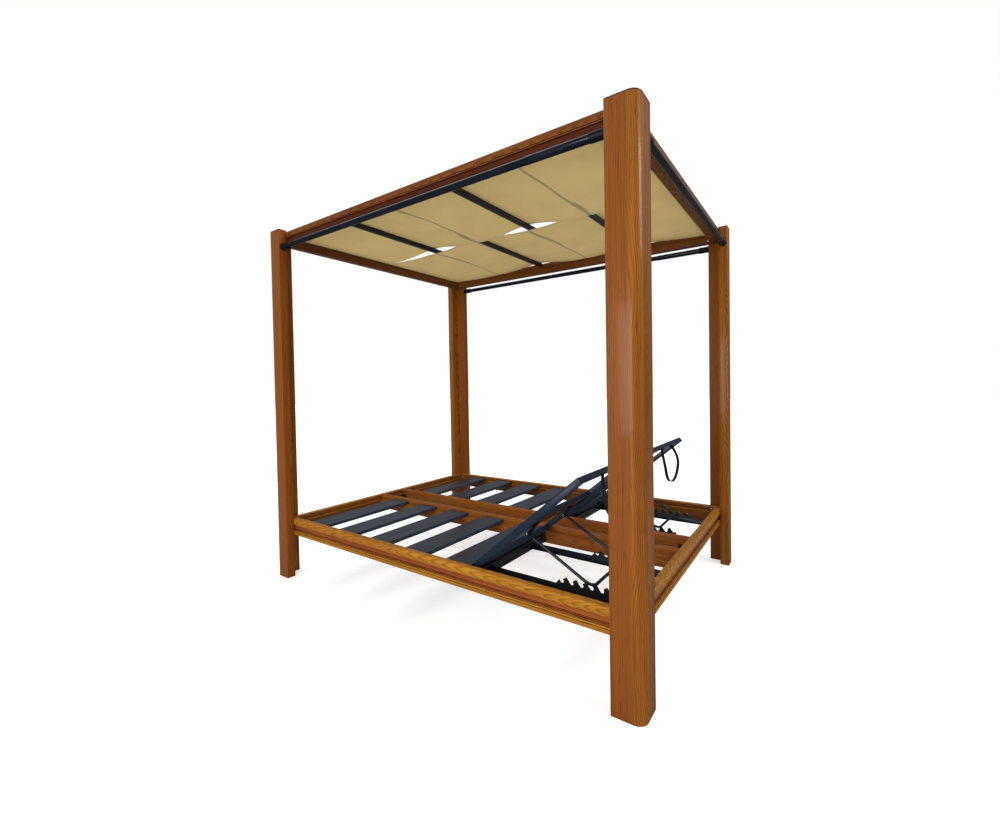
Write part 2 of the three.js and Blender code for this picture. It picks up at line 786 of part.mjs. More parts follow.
function buildCanopyStrip(side) {
  const barBottom = canopyLedgeZ + seatGap;
  const barTop = barBottom + canopyBarHeight;
  const halfCloth = clothThickness / 2;
  const hemZ = canopyLedgeZ + seatGap + halfCloth;
  const hemY = bayHeadY + clothHemBearing;
  const held = [{ y: -hemY, z: hemZ }, { y: -bayHeadY, z: hemZ }];
  for (let i = 0; i < canopyBarCount; i += 1) {
    const over = (i % 2 === 0) === (side.sign > 0);
    const z = over ? barTop + seatGap + halfCloth : barBottom - seatGap - halfCloth;
    held.push({ y: canopyBarY(i) - canopyBarWidth / 2, z });
    held.push({ y: canopyBarY(i) + canopyBarWidth / 2, z });
  }
  held.push({ y: bayHeadY, z: hemZ }, { y: hemY, z: hemZ });

  const line = [];
  held.forEach((from, i) => {
    line.push(point(from.y, from.z));
    const to = held[i + 1];
    if (!to || to.y - from.y <= canopyBarWidth) {
      return;
    }
    for (let k = 1; k < clothSpanSteps; k += 1) {
      const share = k / clothSpanSteps;
      const ease = share * share * (3 - 2 * share);
      const arch = 4 * share * (1 - share);
      const z = THREE.MathUtils.lerp(from.z, to.z, ease) - clothSag * arch * arch;
      line.push(point(THREE.MathUtils.lerp(from.y, to.y, share), z));
    }
  });
  const lower = line.map((p) => point(p.x, p.y - halfCloth));
  const upper = line.map((p) => point(p.x, p.y + halfCloth)).reverse();
  const geometry = alongX([...lower, ...upper], ...span(side.sign, clothMiddleGap, bayOuterX - clothSideGap));
  place(daybed, `canopy_cloth_${side.name}`, geometry, finish.canvas);
}

// Curtain rods: two tubes that slide in each other, with a flange and a socket at each end

function rodGeometry(length) {
  const profile = [
    point(rodBoreRadius, 0),
    point(rodFlangeRadius, 0),
    point(rodFlangeRadius, rodFlangeThickness),
    point(rodSocketRadius, rodFlangeThickness),
    point(rodSocketRadius, rodFlangeThickness + rodSocketLength),
    point(rodInnerRadius, rodFlangeThickness + rodSocketLength),
    point(rodInnerRadius, length - rodJointFromEnd),
    point(rodRadius, length - rodJointFromEnd),
    point(rodRadius, length - rodFlangeThickness - rodSocketLength),
    point(rodSocketRadius, length - rodFlangeThickness - rodSocketLength),
    point(rodSocketRadius, length - rodFlangeThickness),
    point(rodFlangeRadius, length - rodFlangeThickness),
    point(rodFlangeRadius, length),
    point(rodBoreRadius, length),
    point(rodBoreRadius, 0),
  ];
  return new THREE.LatheGeometry(profile, rodSides).translate(0, -length / 2, 0);
}

function buildRods() {
  const z = overallHeight - rodBelowPostTop;
  for (const side of sides) {
    const length = 2 * (halfLength - postLegLength - seatGap);
    const rod = place(daybed, `curtain_rod_${side.name}`, rodGeometry(length), finish.blackSteel);
    rod.position.set(side.sign * (halfWidth - postLegThickness / 2), 0, z);
  }
  const length = 2 * (halfWidth - postLegLength - seatGap);
  const rod = place(daybed, "curtain_rod_head", rodGeometry(length), finish.blackSteel);
  rod.position.set(0, halfLength - postLegThickness / 2, z);
  rod.rotation.z = Math.PI / 2;
}

buildPosts();
buildRails(deckRail, deckTop);
buildRails(canopyBeam, canopyTop);
buildMiddleBeams();
for (const side of sides) {
  buildSlats(side);
  buildHingeBeam(side);
  buildRacks(side);
  buildBackrest(side);
  buildStrap(side);
  buildCanopyStrip(side);
}
buildCanopyBars();
buildRods();

export default daybed;
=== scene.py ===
import json
import math

import bmesh
import bpy
from mathutils import Matrix, Vector


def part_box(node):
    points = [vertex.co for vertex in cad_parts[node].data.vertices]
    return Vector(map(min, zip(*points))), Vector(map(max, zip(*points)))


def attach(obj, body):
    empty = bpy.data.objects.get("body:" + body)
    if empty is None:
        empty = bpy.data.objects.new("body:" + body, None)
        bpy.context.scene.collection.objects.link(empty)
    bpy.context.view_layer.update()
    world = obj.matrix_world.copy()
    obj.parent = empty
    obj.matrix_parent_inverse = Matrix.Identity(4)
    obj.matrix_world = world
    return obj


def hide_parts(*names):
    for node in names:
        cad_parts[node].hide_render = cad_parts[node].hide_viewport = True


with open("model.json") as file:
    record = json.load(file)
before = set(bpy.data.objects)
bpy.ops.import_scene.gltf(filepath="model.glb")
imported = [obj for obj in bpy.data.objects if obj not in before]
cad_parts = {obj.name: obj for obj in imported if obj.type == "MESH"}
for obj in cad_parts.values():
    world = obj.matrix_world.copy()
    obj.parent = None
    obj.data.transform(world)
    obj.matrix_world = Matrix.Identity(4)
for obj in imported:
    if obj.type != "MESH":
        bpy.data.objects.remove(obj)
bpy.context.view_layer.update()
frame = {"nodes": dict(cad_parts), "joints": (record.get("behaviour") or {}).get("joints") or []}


# Camera.
# It stands beside the head end on the left, at chest height and 1.6 m from the nearest post.
# Its focal length and middle are worked out in pixels of a frame 1000 wide and 815 high.

camera_place = Vector((2.3563, 1.6174, 1.1460))
camera_azimuth = math.radians(125.68)
camera_height = math.radians(1.249)
camera_roll = math.radians(-0.992)
frame_width = 1000
frame_height = 815
focal_length = 456.51
middle_across = 496.36
middle_down = 395.22
sensor_width = 36
farthest_view = 100

camera = bpy.data.objects.new("photographer", bpy.data.cameras.new("photographer"))
bpy.context.scene.collection.objects.link(camera)
backward = Vector((
    math.sin(camera_azimuth) * math.cos(camera_height),
    -math.cos(camera_azimuth) * math.cos(camera_height),
    math.sin(camera_height),
))
level_right = Vector((0, 0, 1)).cross(backward).normalized()
level_up = backward.cross(level_right)
right = math.cos(camera_roll) * level_right + math.sin(camera_roll) * level_up
up = backward.cross(right)
camera.matrix_world = Matrix.Translation(camera_place) @ Matrix((right, up, backward)).transposed().to_4x4()
camera.data.sensor_width = sensor_width
camera.data.lens = sensor_width * focal_length / frame_width
camera.data.shift_x = (frame_width / 2 - middle_across) / frame_width
camera.data.shift_y = (middle_down - frame_height / 2) / frame_width
camera.data.clip_end = farthest_view
bpy.context.scene.camera = camera


# Studio.
# A pale floor under an even white surround, with three large soft lamps above and beside the daybed.
# The surround is white to the camera, lights the object at a plain level and is darker in reflections.

floor_size = 60
floor_drop = 0.0006
floor_tone = 0.80
floor_tone_in_reflections = 0.22
floor_roughness = 0.9
floor_lift = 0.50
floor_fade_start = 1.6
floor_fade_end = 4.5
daylight = 0.60
horizon_reflection = 0.10
zenith_reflection = 0.50
lamps = [
    {"name": "key_lamp", "place": (4.6, 0.4, 1.5), "size": 2.2, "power": 120},
    {"name": "head_lamp", "place": (-0.4, 4.4, 3.9), "size": 1.5, "power": 90},
    {"name": "sky_lamp", "place": (-1.0, -2.0, 5.2), "size": 4.0, "power": 110},
]
lamp_aim = Vector((0, 0, 0.8))


def add(tree, kind, inputs=None, **settings):
    """A node with its settings; each input is a value or another node's socket."""
    node = tree.nodes.new(kind)
    for key, value in settings.items():
        setattr(node, key, value)
    for key, value in (inputs or {}).items():
        if isinstance(value, bpy.types.NodeSocket):
            tree.links.new(value, node.inputs[key])
        else:
            node.inputs[key].default_value = value
    return node


def ranged(tree, value, to_low, to_high, low=0.0, high=1.0):
    """A value carried from low and high to new limits."""
    given = {"Value": value, "From Min": low, "From Max": high, "To Min": to_low, "To Max": to_high}
    return add(tree, "ShaderNodeMapRange", given).outputs["Result"]


world = bpy.data.worlds.new("white_surround")
bpy.context.scene.world = world
world.use_nodes = True
tree = world.node_tree
tree.nodes.clear()
path = add(tree, "ShaderNodeLightPath").outputs
way = add(tree, "ShaderNodeTexCoord").outputs["Generated"]
rise = add(tree, "ShaderNodeSeparateXYZ", {"Vector": way}).outputs["Z"]
reflected = ranged(tree, rise, horizon_reflection, zenith_reflection)
unseen = ranged(tree, path["Is Glossy Ray"], daylight, reflected)
level = ranged(tree, path["Is Camera Ray"], unseen, 1.0)
surround = add(tree, "ShaderNodeBackground", {"Color": (1, 1, 1, 1), "Strength": level})
add(tree, "ShaderNodeOutputWorld", {"Surface": surround.outputs[0]})

floor_mesh = bpy.data.meshes.new("studio_floor")
half_floor = floor_size / 2
floor_signs = ((-1, -1), (1, -1), (1, 1), (-1, 1))
floor_corners = [(x * half_floor, y * half_floor, -floor_drop) for x, y in floor_signs]
floor_mesh.from_pydata(floor_corners, [], [(0, 1, 2, 3)])
floor = bpy.data.objects.new("studio_floor", floor_mesh)
bpy.context.scene.collection.objects.link(floor)
paper = bpy.data.materials.new("floor_paper")
paper.use_nodes = True
tree = paper.node_tree
shader = tree.nodes["Principled BSDF"]
shader.inputs["Roughness"].default_value = floor_roughness
shader.inputs["Emission Color"].default_value = (1, 1, 1, 1)
place = add(tree, "ShaderNodeTexCoord").outputs["Object"]
away = add(tree, "ShaderNodeVectorMath", {0: place}, operation="LENGTH").outputs["Value"]
lifted = ranged(tree, away, floor_lift, 1.0, floor_fade_start, floor_fade_end)
path = add(tree, "ShaderNodeLightPath").outputs
glow = ranged(tree, path["Is Camera Ray"], 0.0, lifted)
tree.links.new(glow, shader.inputs["Emission Strength"])
tone = ranged(tree, path["Is Glossy Ray"], floor_tone, floor_tone_in_reflections)
tree.links.new(tone, shader.inputs["Base Color"])
floor_mesh.materials.append(paper)

for lamp in lamps:
    light = bpy.data.lights.new(lamp["name"], "AREA")
    light.shape = "SQUARE"
    light.size = lamp["size"]
    light.energy = lamp["power"]
    holder = bpy.data.objects.new(lamp["name"], light)
    bpy.context.scene.collection.objects.link(holder)
    holder.location = lamp["place"]
    holder.rotation_euler = (Vector(lamp["place"]) - lamp_aim).to_track_quat("Z", "Y").to_euler()

bpy.context.scene.view_settings.view_transform = "Standard"


# Corner posts.
# Hollow aluminium profiles of L section, wrapped in a printed wood-grain foil with a satin lacquer.
# The outer corner is a wide round, and the two legs are closed with small rounded edges.

post_leg = 0.120
post_thickness = 0.050
post_corner = 0.040
post_edge = 0.0022
post_rim = 0.0008
round_steps = 20
edge_steps = 4
wide_edge_angle = 60
relief_strength = 0.6
ends = {"head": 1, "foot": -1}
sides = {"left": 1, "right": -1}


def shader_group(name, inputs):
    """A node group that gives a colour, a roughness and a height, and the sockets of its named inputs."""
    group = bpy.data.node_groups.new(name, "ShaderNodeTree")
    kinds = {"vector": "NodeSocketVector", "colour": "NodeSocketColor", "value": "NodeSocketFloat"}
    for label, kind in inputs.items():
        group.interface.new_socket(label, in_out="INPUT", socket_type=kinds[kind])
    for label, kind in {"Colour": "colour", "Roughness": "value", "Height": "value"}.items():
        group.interface.new_socket(label, in_out="OUTPUT", socket_type=kinds[kind])
    return group, group.nodes.new("NodeGroupInput").outputs


def blend_colours(tree, share, first, second):
    """The first colour where share is 0 and the second where it is 1."""
    mixed = {0: share, 6: first, 7: second}
    return add(tree, "ShaderNodeMix", mixed, data_type="RGBA").outputs[2]


def eased(tree, value, low, high, to_low=0.0, to_high=1.0):
    """A value stretched from low and high to new limits, with soft ends."""
    given = {"Value": value, "From Min": low, "From Max": high, "To Min": to_low, "To Max": to_high}
    return add(tree, "ShaderNodeMapRange", given, interpolation_type="SMOOTHSTEP").outputs["Result"]


def calculated(tree, operation, first, second=0.0):
    """One sum of two values."""
    return add(tree, "ShaderNodeMath", {0: first, 1: second}, operation=operation).outputs[0]


def stretched_noise(tree, vector, stretch, scale, detail):
    """Noise that is drawn out along X, the way of the grain."""
    drawn = add(tree, "ShaderNodeVectorMath", {0: vector, 1: (stretch, 1, 1)}, operation="MULTIPLY")
    given = {"Vector": drawn.outputs[0], "Scale": scale, "Detail": detail, "Roughness": 0.5}
    return add(tree, "ShaderNodeTexNoise", given).outputs["Fac"]


ring_sway_length = 0.85
ring_wobble = 0.034
ring_crest_share = 0.94
sapwood_start = -0.015
sapwood_stop = 0.030
sapwood_tone_stop = 0.022
sapwood_figure_share = 0.3
fleck_depth_share = 0.5

foil_group, given = shader_group("wood_foil_grain", {
    "Vector": "vector", "Heart": "vector", "Pale": "colour", "Mid": "colour", "Dark": "colour",
    "Line": "colour", "Ring Pitch": "value", "Taper": "value", "Ring Strength": "value",
    "Streak Strength": "value", "Sapwood": "value", "Sway": "value", "Gloss": "value",
})
tree = foil_group
bands = stretched_noise(tree, given["Vector"], stretch=0.03, scale=26, detail=2)
streaks = stretched_noise(tree, given["Vector"], stretch=0.008, scale=330, detail=3)
swell = stretched_noise(tree, given["Vector"], stretch=0.16, scale=11, detail=2)
flecks = stretched_noise(tree, given["Vector"], stretch=0.05, scale=260, detail=1)
mirrored = add(tree, "ShaderNodeVectorMath", {0: given["Vector"]}, operation="ABSOLUTE").outputs[0]
from_heart = add(tree, "ShaderNodeVectorMath", {0: mirrored, 1: given["Heart"]}, operation="SUBTRACT")
across = add(tree, "ShaderNodeVectorMath", {0: from_heart.outputs[0], 1: (0, 1, 1)}, operation="MULTIPLY")
radius = add(tree, "ShaderNodeVectorMath", {0: across.outputs[0]}, operation="LENGTH").outputs["Value"]
along = add(tree, "ShaderNodeSeparateXYZ", {"Vector": given["Vector"]}).outputs["X"]
past_sapwood = calculated(tree, "SUBTRACT", radius, given["Sapwood"])
figured = eased(tree, past_sapwood, sapwood_start, sapwood_stop, 1.0, sapwood_figure_share)
sway = calculated(tree, "SINE", calculated(tree, "MULTIPLY", along, 2 * math.pi / ring_sway_length))
swayed = calculated(tree, "MULTIPLY", calculated(tree, "MULTIPLY", sway, given["Sway"]), figured)
drift = calculated(tree, "ADD", calculated(tree, "MULTIPLY", along, given["Taper"]), swayed)
wobble = calculated(tree, "MULTIPLY", swell, ring_wobble)
ring_place = calculated(tree, "ADD", calculated(tree, "SUBTRACT", radius, drift), wobble)
ring_run = calculated(tree, "FRACT", calculated(tree, "DIVIDE", ring_place, given["Ring Pitch"]))
ring_depth = calculated(tree, "MULTIPLY", given["Ring Strength"], figured)
ring_line = calculated(tree, "MULTIPLY", eased(tree, ring_run, 0.40, ring_crest_share), ring_depth)
ring_fall = calculated(tree, "MULTIPLY", ring_line, eased(tree, ring_run, ring_crest_share, 1.0, 1.0, 0.0))
banded = eased(tree, bands, 0.36, 0.66, 0.0, 0.8)
heartwood = eased(tree, past_sapwood, 0, sapwood_tone_stop)
tone = blend_colours(tree, calculated(tree, "MAXIMUM", banded, heartwood), given["Pale"], given["Mid"])
streak_share = calculated(tree, "MULTIPLY", eased(tree, streaks, 0.44, 0.70), given["Streak Strength"])
streaked = blend_colours(tree, streak_share, tone, given["Dark"])
ringed = blend_colours(tree, ring_fall, streaked, given["Line"])
fleck_share = calculated(tree, "MULTIPLY", eased(tree, flecks, 0.64, 0.74), fleck_depth_share)
flecked = blend_colours(tree, fleck_share, ringed, given["Line"])
matt = calculated(tree, "ADD", given["Gloss"], eased(tree, streaks, 0.35, 0.70, -0.04, 0.08))
height = calculated(tree, "SUBTRACT", 1.0, calculated(tree, "ADD", fleck_share, streak_share))
add(tree, "NodeGroupOutput", {"Colour": flecked, "Roughness": matt, "Height": height})


def finished(name, group, values, bump, turn=(0, 0, 0), shine=None, uv=None):
    """A material of one effect group; shine holds the numbers that stay on the shader's own sockets."""
    material = bpy.data.materials.new(name)
    material.use_nodes = True
    tree = material.node_tree
    shader = tree.nodes["Principled BSDF"]
    if uv:
        place = add(tree, "ShaderNodeUVMap", uv_map=uv).outputs["UV"]
    else:
        place = add(tree, "ShaderNodeTexCoord").outputs["Object"]
    turned = add(tree, "ShaderNodeMapping", {"Vector": place, "Rotation": turn}).outputs["Vector"]
    effect = add(tree, "ShaderNodeGroup", node_tree=group)
    tree.links.new(turned, effect.inputs["Vector"])
    for key, value in values.items():
        effect.inputs[key].default_value = value
    relief = add(tree, "ShaderNodeBump", {"Height": effect.outputs["Height"], "Distance": bump,
                                          "Strength": relief_strength})
    tree.links.new(effect.outputs["Colour"], shader.inputs["Base Color"])
    tree.links.new(effect.outputs["Roughness"], shader.inputs["Roughness"])
    tree.links.new(relief.outputs["Normal"], shader.inputs["Normal"])
    for key, value in (shine or {}).items():
        shader.inputs[key].default_value = value
    return material


grain_turns = {"x": (0, 0, 0), "y": (0, 0, math.radians(-90)), "z": (0, math.radians(90), 0)}
lacquer = {"Coat Weight": 0.12, "Coat Roughness": 0.10, "Specular IOR Level": 0.08}
line_tone_share = 0.45
foil_relief = 0.00003


def foil(name, axis, heart, tones, rings, strengths, gloss=0.36, sapwood=1.0, sway=0.0):
    """Wood-grain foil with its grain along one axis; the rings run round the heart's place."""
    pale, mid, dark = ((*tone, 1) for tone in tones)
    line = (*(part * line_tone_share for part in tones[2]), 1)
    values = {"Heart": heart, "Pale": pale, "Mid": mid, "Dark": dark, "Line": line,
              "Ring Pitch": rings[0], "Taper": rings[1], "Ring Strength": strengths[0],
              "Streak Strength": strengths[1], "Sapwood": sapwood, "Sway": sway, "Gloss": gloss}
    return finished(name, foil_group, values, turn=grain_turns[axis], bump=foil_relief, shine=lacquer)


def rounded(corners, steps):
    """The outline with round corners; a corner is (x, y, radius, face), and each point keeps its face."""
    points = []
    for i, (x, y, radius, face) in enumerate(corners):
        here = Vector((x, y))
        if radius <= 0:
            points.append((here, face))
            continue
        before = (Vector(corners[i - 1][:2]) - here).normalized()
        after = (Vector(corners[(i + 1) % len(corners)][:2]) - here).normalized()
        half = before.angle(after) / 2
        centre = here + (before + after).normalized() * radius / math.sin(half)
        start = here + before * radius / math.tan(half) - centre
        stop = here + after * radius / math.tan(half) - centre
        sweep = start.angle(stop) * (1 if start.x * stop.y - start.y * stop.x > 0 else -1)
        count = steps if radius < post_corner else round_steps
        for k in range(count + 1):
            turn = Matrix.Rotation(sweep * k / count, 2)
            points.append((centre + turn @ start, face))
    return points


def prism(name, outline, low_end, high_end, materials):
    """A solid between two ends; each end turns an outline point into a place."""
    made = bmesh.new()
    rings = [[made.verts.new(end(p)) for p, _ in outline] for end in (low_end, high_end)]
    count = len(outline)
    for i, (_, face) in enumerate(outline):
        after = (i + 1) % count
        wall = made.faces.new((rings[0][i], rings[0][after], rings[1][after], rings[1][i]))
        wall.material_index = face
    for ring in rings:
        made.faces.new(ring)
    bmesh.ops.recalc_face_normals(made, faces=made.faces)
    return modelled(name, made, materials)


def modelled(name, made, materials):
    """An object of what has just been modelled, in the scene."""
    mesh = bpy.data.meshes.new(name)
    made.to_mesh(mesh)
    made.free()
    return shown(name, mesh, materials)


def shown(name, mesh, materials=()):
    """An object of this mesh, in the scene."""
    for material in materials:
        mesh.materials.append(material)
    thing = bpy.data.objects.new(name, mesh)
    bpy.context.scene.collection.objects.link(thing)
    return thing


def keep_modifiers(thing):
    """Turns what the modifiers make into the object's own mesh."""
    bpy.context.view_layer.update()
    view = bpy.context.evaluated_depsgraph_get()
    mesh = bpy.data.meshes.new_from_object(thing.evaluated_get(view))
    thing.modifiers.clear()
    thing.data = mesh
    mesh.name = thing.name


def soften(thing, width, segments=2, corner=40, smooth=35):
    """Rounds the edges that are sharper than a corner angle, and shades the rest smooth."""
    bevel = thing.modifiers.new("edges", "BEVEL")
    bevel.width = width
    bevel.segments = segments
    bevel.limit_method = "ANGLE"
    bevel.angle_limit = math.radians(corner)
    keep_modifiers(thing)
    shade(thing, smooth)


def shade(thing, smooth=35):
    """Smooth shading that stays sharp at edges above an angle."""
    thing.data.shade_smooth()
    thing.data.set_sharp_from_angle(angle=math.radians(smooth))


def belongs(thing, body, slot, *nodes):
    """The piece rides on its body and hides the CAD nodes it stands for; the slot is not used."""
    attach(thing, body)
    if nodes:
        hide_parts(*nodes)


# The posts take a darker, redder tone of the foil than the deck rails' band: partly a different tint, partly
# painted light and shade, the low rails painted as catching more light.
post_tones = ((0.335, 0.120, 0.009), (0.225, 0.067, 0.009), (0.110, 0.026, 0.007))
post_heart_beyond = 0.016
post_heart_inside = 0.062
post_sapwood = 0.070
post_sway = 0.019
post_corner_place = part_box("corner_post_head_left")[1]
post_heart = (0, post_corner_place.y + post_heart_beyond, post_corner_place.x - post_heart_inside)
post_foil = foil("post_foil", "z", post_heart, post_tones, (0.0060, 0.004), (0.62, 0.50),
                 sapwood=post_sapwood, sway=post_sway)


def post_outline(corner, towards_x, towards_y):
    """The L section, drawn from its outer corner towards the inside of the frame."""
    legs = [(0, 0, post_corner), (post_leg, 0, post_edge), (post_leg, post_thickness, post_edge),
            (post_thickness, post_thickness, 0), (post_thickness, post_leg, post_edge),
            (0, post_leg, post_edge)]
    corners = [(corner[0] + towards_x * x, corner[1] + towards_y * y, radius, 0) for x, y, radius in legs]
    return rounded(corners, edge_steps)


def upright(name, node, toward_end, toward_side, material):
    """The L section between the bottom and the top of a CAD node."""
    low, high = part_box(node)
    corner = (high.x if toward_side > 0 else low.x, high.y if toward_end > 0 else low.y)
    outline = post_outline(corner, -toward_side, -toward_end)
    return prism(name, outline, lambda p: (p.x, p.y, low.z), lambda p: (p.x, p.y, high.z), [material])


for end, toward_end in ends.items():
    for side, toward_side in sides.items():
        node = f"corner_post_{end}_{side}"
        post = upright(f"post_{end}_{side}", node, toward_end, toward_side, post_foil)
        soften(post, post_rim, corner=wide_edge_angle)
        belongs(post, "frame", "wood_foil", node)


# Post caps.
# Flat caps of dark brown plastic with the post's own outline, pressed into the top of each post.
# Their outer edge is softened, and a thin dark joint shows where they meet the foil.

cap_rim = 0.0012
coat_relief = 0.00001
grit_depth_share = 0.55

coat_group, given = shader_group("powder_coat", {
    "Vector": "vector", "Main": "colour", "Speckle": "colour", "Mottle": "value", "Gloss": "value",
})
tree = coat_group
grit = stretched_noise(tree, given["Vector"], stretch=1.0, scale=900, detail=2)
cloud = stretched_noise(tree, given["Vector"], stretch=1.0, scale=7, detail=2)
peel = stretched_noise(tree, given["Vector"], stretch=1.0, scale=420, detail=1)
grit_share = calculated(tree, "MULTIPLY", eased(tree, grit, 0.50, 0.72), grit_depth_share)
cloud_share = calculated(tree, "MULTIPLY", eased(tree, cloud, 0.35, 0.68), given["Mottle"])
share = calculated(tree, "ADD", grit_share, cloud_share)
coated = blend_colours(tree, share, given["Main"], given["Speckle"])
matt = calculated(tree, "ADD", given["Gloss"], eased(tree, cloud, 0.30, 0.70, -0.05, 0.07))
add(tree, "NodeGroupOutput", {"Colour": coated, "Roughness": matt, "Height": peel})


def coat(name, main, speckle, mottle, gloss, shine=None, bump=coat_relief):
    """Powder coat or moulded plastic with a fine grit and a slow change of tone."""
    values = {"Main": (*main, 1), "Speckle": (*speckle, 1), "Mottle": mottle, "Gloss": gloss}
    return finished(name, coat_group, values, bump=bump, shine=shine)


cap_plastic = coat("cap_plastic", (0.020, 0.010, 0.006), (0.034, 0.018, 0.010), 0.25, 0.42)
for end, toward_end in ends.items():
    for side, toward_side in sides.items():
        node = f"post_cap_{end}_{side}"
        cap = upright(f"cap_{end}_{side}", node, toward_end, toward_side, cap_plastic)
        soften(cap, cap_rim, segments=3, corner=wide_edge_angle)
        belongs(cap, "frame", "wood_foil", node)


# Deck rails and canopy beams.
# Foil-wrapped aluminium profiles, mitred at the corners: a proud band, a recess with fine grooves,
# a lip below it and a ledge on the inside that carries the slats or the cloth.

rail_band = 0.036
rail_recess = 0.008
rail_top = 0.0335
rail_reach = 0.045
rail_round = 0.003
rail_edge = 0.0012
groove_width = 0.0030
groove_depth = 0.0030
rail_shapes = {
    "deck_rail": {"ledge_drop": 0.032, "lip": 0.025, "band_grooves": (), "recess_grooves": (0.0610, 0.0665),
                  "lip_grooves": (0.0805,)},
    "canopy_beam": {"ledge_drop": 0.024, "lip": 0.010, "band_grooves": (0.0295,), "recess_grooves": (),
                    "lip_grooves": ()},
}
# The faces after the band take darker copies of the foil: painted shade in the recess, which also has a
# somewhat darker print, painted shade on the inner faces and a painted shadow in the grooves.
band_face = 0
recess_shade_face = 1
inner_shade_face = 2
groove_shadow_face = 3


def grooves(depth, drops, face):
    """The points of fine grooves in a face that runs downwards at this depth."""
    half = groove_width / 2
    points = []
    for drop in drops:
        points += [
            (depth, -drop + half, 0, groove_shadow_face),
            (depth + groove_depth, -drop + half, 0, groove_shadow_face),
            (depth + groove_depth, -drop - half, 0, groove_shadow_face),
            (depth, -drop - half, 0, face),
        ]
    return points


def rail_outline(shape, height):
    """The profile: x is the depth behind the outer face and y is the height below the top."""
    lip_top = shape["lip"] - height
    return rounded([
        (0, 0, rail_round, band_face),
        *grooves(0, shape["band_grooves"], band_face),
        (0, -rail_band, rail_edge, recess_shade_face),
        (rail_recess, -rail_band, 0, recess_shade_face),
        *grooves(rail_recess, shape["recess_grooves"], recess_shade_face),
        (rail_recess, lip_top, 0, band_face),
        (0, lip_top, rail_edge, band_face),
        *grooves(0, shape["lip_grooves"], band_face),
        (0, -height, rail_edge, inner_shade_face),
        (rail_reach, -height, rail_edge, inner_shade_face),
        (rail_reach, -shape["ledge_drop"], rail_edge, band_face),
        (rail_top, -shape["ledge_drop"], 0, inner_shade_face),
        (rail_top, 0, rail_round, band_face),
    ], edge_steps)


# The recess, inner and groove tones are the same foil painted darker: painted shade in the recess (partly its
# darker print), painted shade on the inner faces, painted shadow in the grooves.
rail_looks = {
    "deck_rail": {
        # The deck band is lighter than the posts' foil partly as painted light.
        "body": ((0.440, 0.190, 0.016), (0.330, 0.120, 0.012), (0.165, 0.046, 0.008)),
        "recess": ((0.330, 0.088, 0.015), (0.230, 0.052, 0.012), (0.085, 0.016, 0.006)),
        "inner": ((0.175, 0.062, 0.007), (0.120, 0.036, 0.006), (0.060, 0.016, 0.004)),
        "groove": ((0.060, 0.016, 0.004), (0.040, 0.010, 0.003), (0.020, 0.005, 0.002)),
    },
    "canopy_beam": {
        "body": ((0.190, 0.063, 0.012), (0.140, 0.040, 0.010), (0.068, 0.017, 0.006)),
        "recess": ((0.090, 0.022, 0.008), (0.062, 0.014, 0.006), (0.030, 0.007, 0.004)),
        "inner": ((0.150, 0.052, 0.008), (0.098, 0.030, 0.006), (0.046, 0.013, 0.004)),
        "groove": ((0.030, 0.009, 0.003), (0.022, 0.006, 0.002), (0.012, 0.003, 0.001)),
    },
}
rails = [
    {"name": "head", "out": Vector((0, 1, 0)), "along": Vector((1, 0, 0)), "axis": "x"},
    {"name": "foot", "out": Vector((0, -1, 0)), "along": Vector((1, 0, 0)), "axis": "x"},
    {"name": "left", "out": Vector((1, 0, 0)), "along": Vector((0, 1, 0)), "axis": "y"},
    {"name": "right", "out": Vector((-1, 0, 0)), "along": Vector((0, 1, 0)), "axis": "y"},
]
rail_heart_depth = 0.022
rail_heart_drop = 0.020
rail_rings = (0.0055, 0.075)
rail_strengths = (0.50, 0.45)
rail_gloss = 0.30


def outer_face(rail, low, high):
    """How far out the rail's outer face lies, along its own way out."""
    return high.dot(rail["out"]) if sum(rail["out"]) > 0 else low.dot(rail["out"])


for family, looks in rail_looks.items():
    foils = {}
    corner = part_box(f"{family}_left")[1].x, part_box(f"{family}_head")[1].y
    heart_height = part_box(f"{family}_left")[1].z - rail_heart_drop
    for axis, outer in zip(("y", "x"), corner):
        heart = (0, outer - rail_heart_depth, heart_height)
        foils[axis] = [foil(f"{family}_{face}_{axis}", axis, heart, tones, rail_rings, rail_strengths,
                            rail_gloss) for face, tones in looks.items()]
    for rail in rails:
        node = f"{family}_{rail['name']}"
        low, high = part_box(node)
        outer = outer_face(rail, low, high)
        half_run = high.dot(rail["along"])

        def rail_end(sign, rail=rail, outer=outer, half_run=half_run, top=high.z):
            """Places an outline point at one mitred end."""
            return lambda p: (rail["out"] * (outer - p.x) + rail["along"] * sign * (half_run - p.x)
                              + Vector((0, 0, top + p.y)))

        outline = rail_outline(rail_shapes[family], high.z - low.z)
        piece = prism(f"{node}_profile", outline, rail_end(-1), rail_end(1), foils[rail["axis"]])
        shade(piece)
        belongs(piece, "frame", "wood_foil", node)


# Middle beams.
# Two foil-wrapped beams beside the open channel between the loungers, each with a ledge for the
# slats, let in over the ledges of the head and foot rails and held there by black angle blocks.

middle_edge = 0.0015
middle_block = 0.024
middle_heart = (0, 0.100, 0.300)
middle_tones = ((0.300, 0.098, 0.012), (0.220, 0.062, 0.009), (0.105, 0.027, 0.006))
merge_distance = 0.00002
flat_angle = 0.5
middle_foil = foil("middle_beam_foil", "y", middle_heart, middle_tones, (0.0060, 0.060), (0.38, 0.40), 0.32)
black_coat = coat("black_coat", (0.0040, 0.0055, 0.0088), (0.008, 0.011, 0.016), 0.35, 0.30,
                  shine={"Specular IOR Level": 0.25, "Coat Weight": 0.10, "Coat Roughness": 0.12})


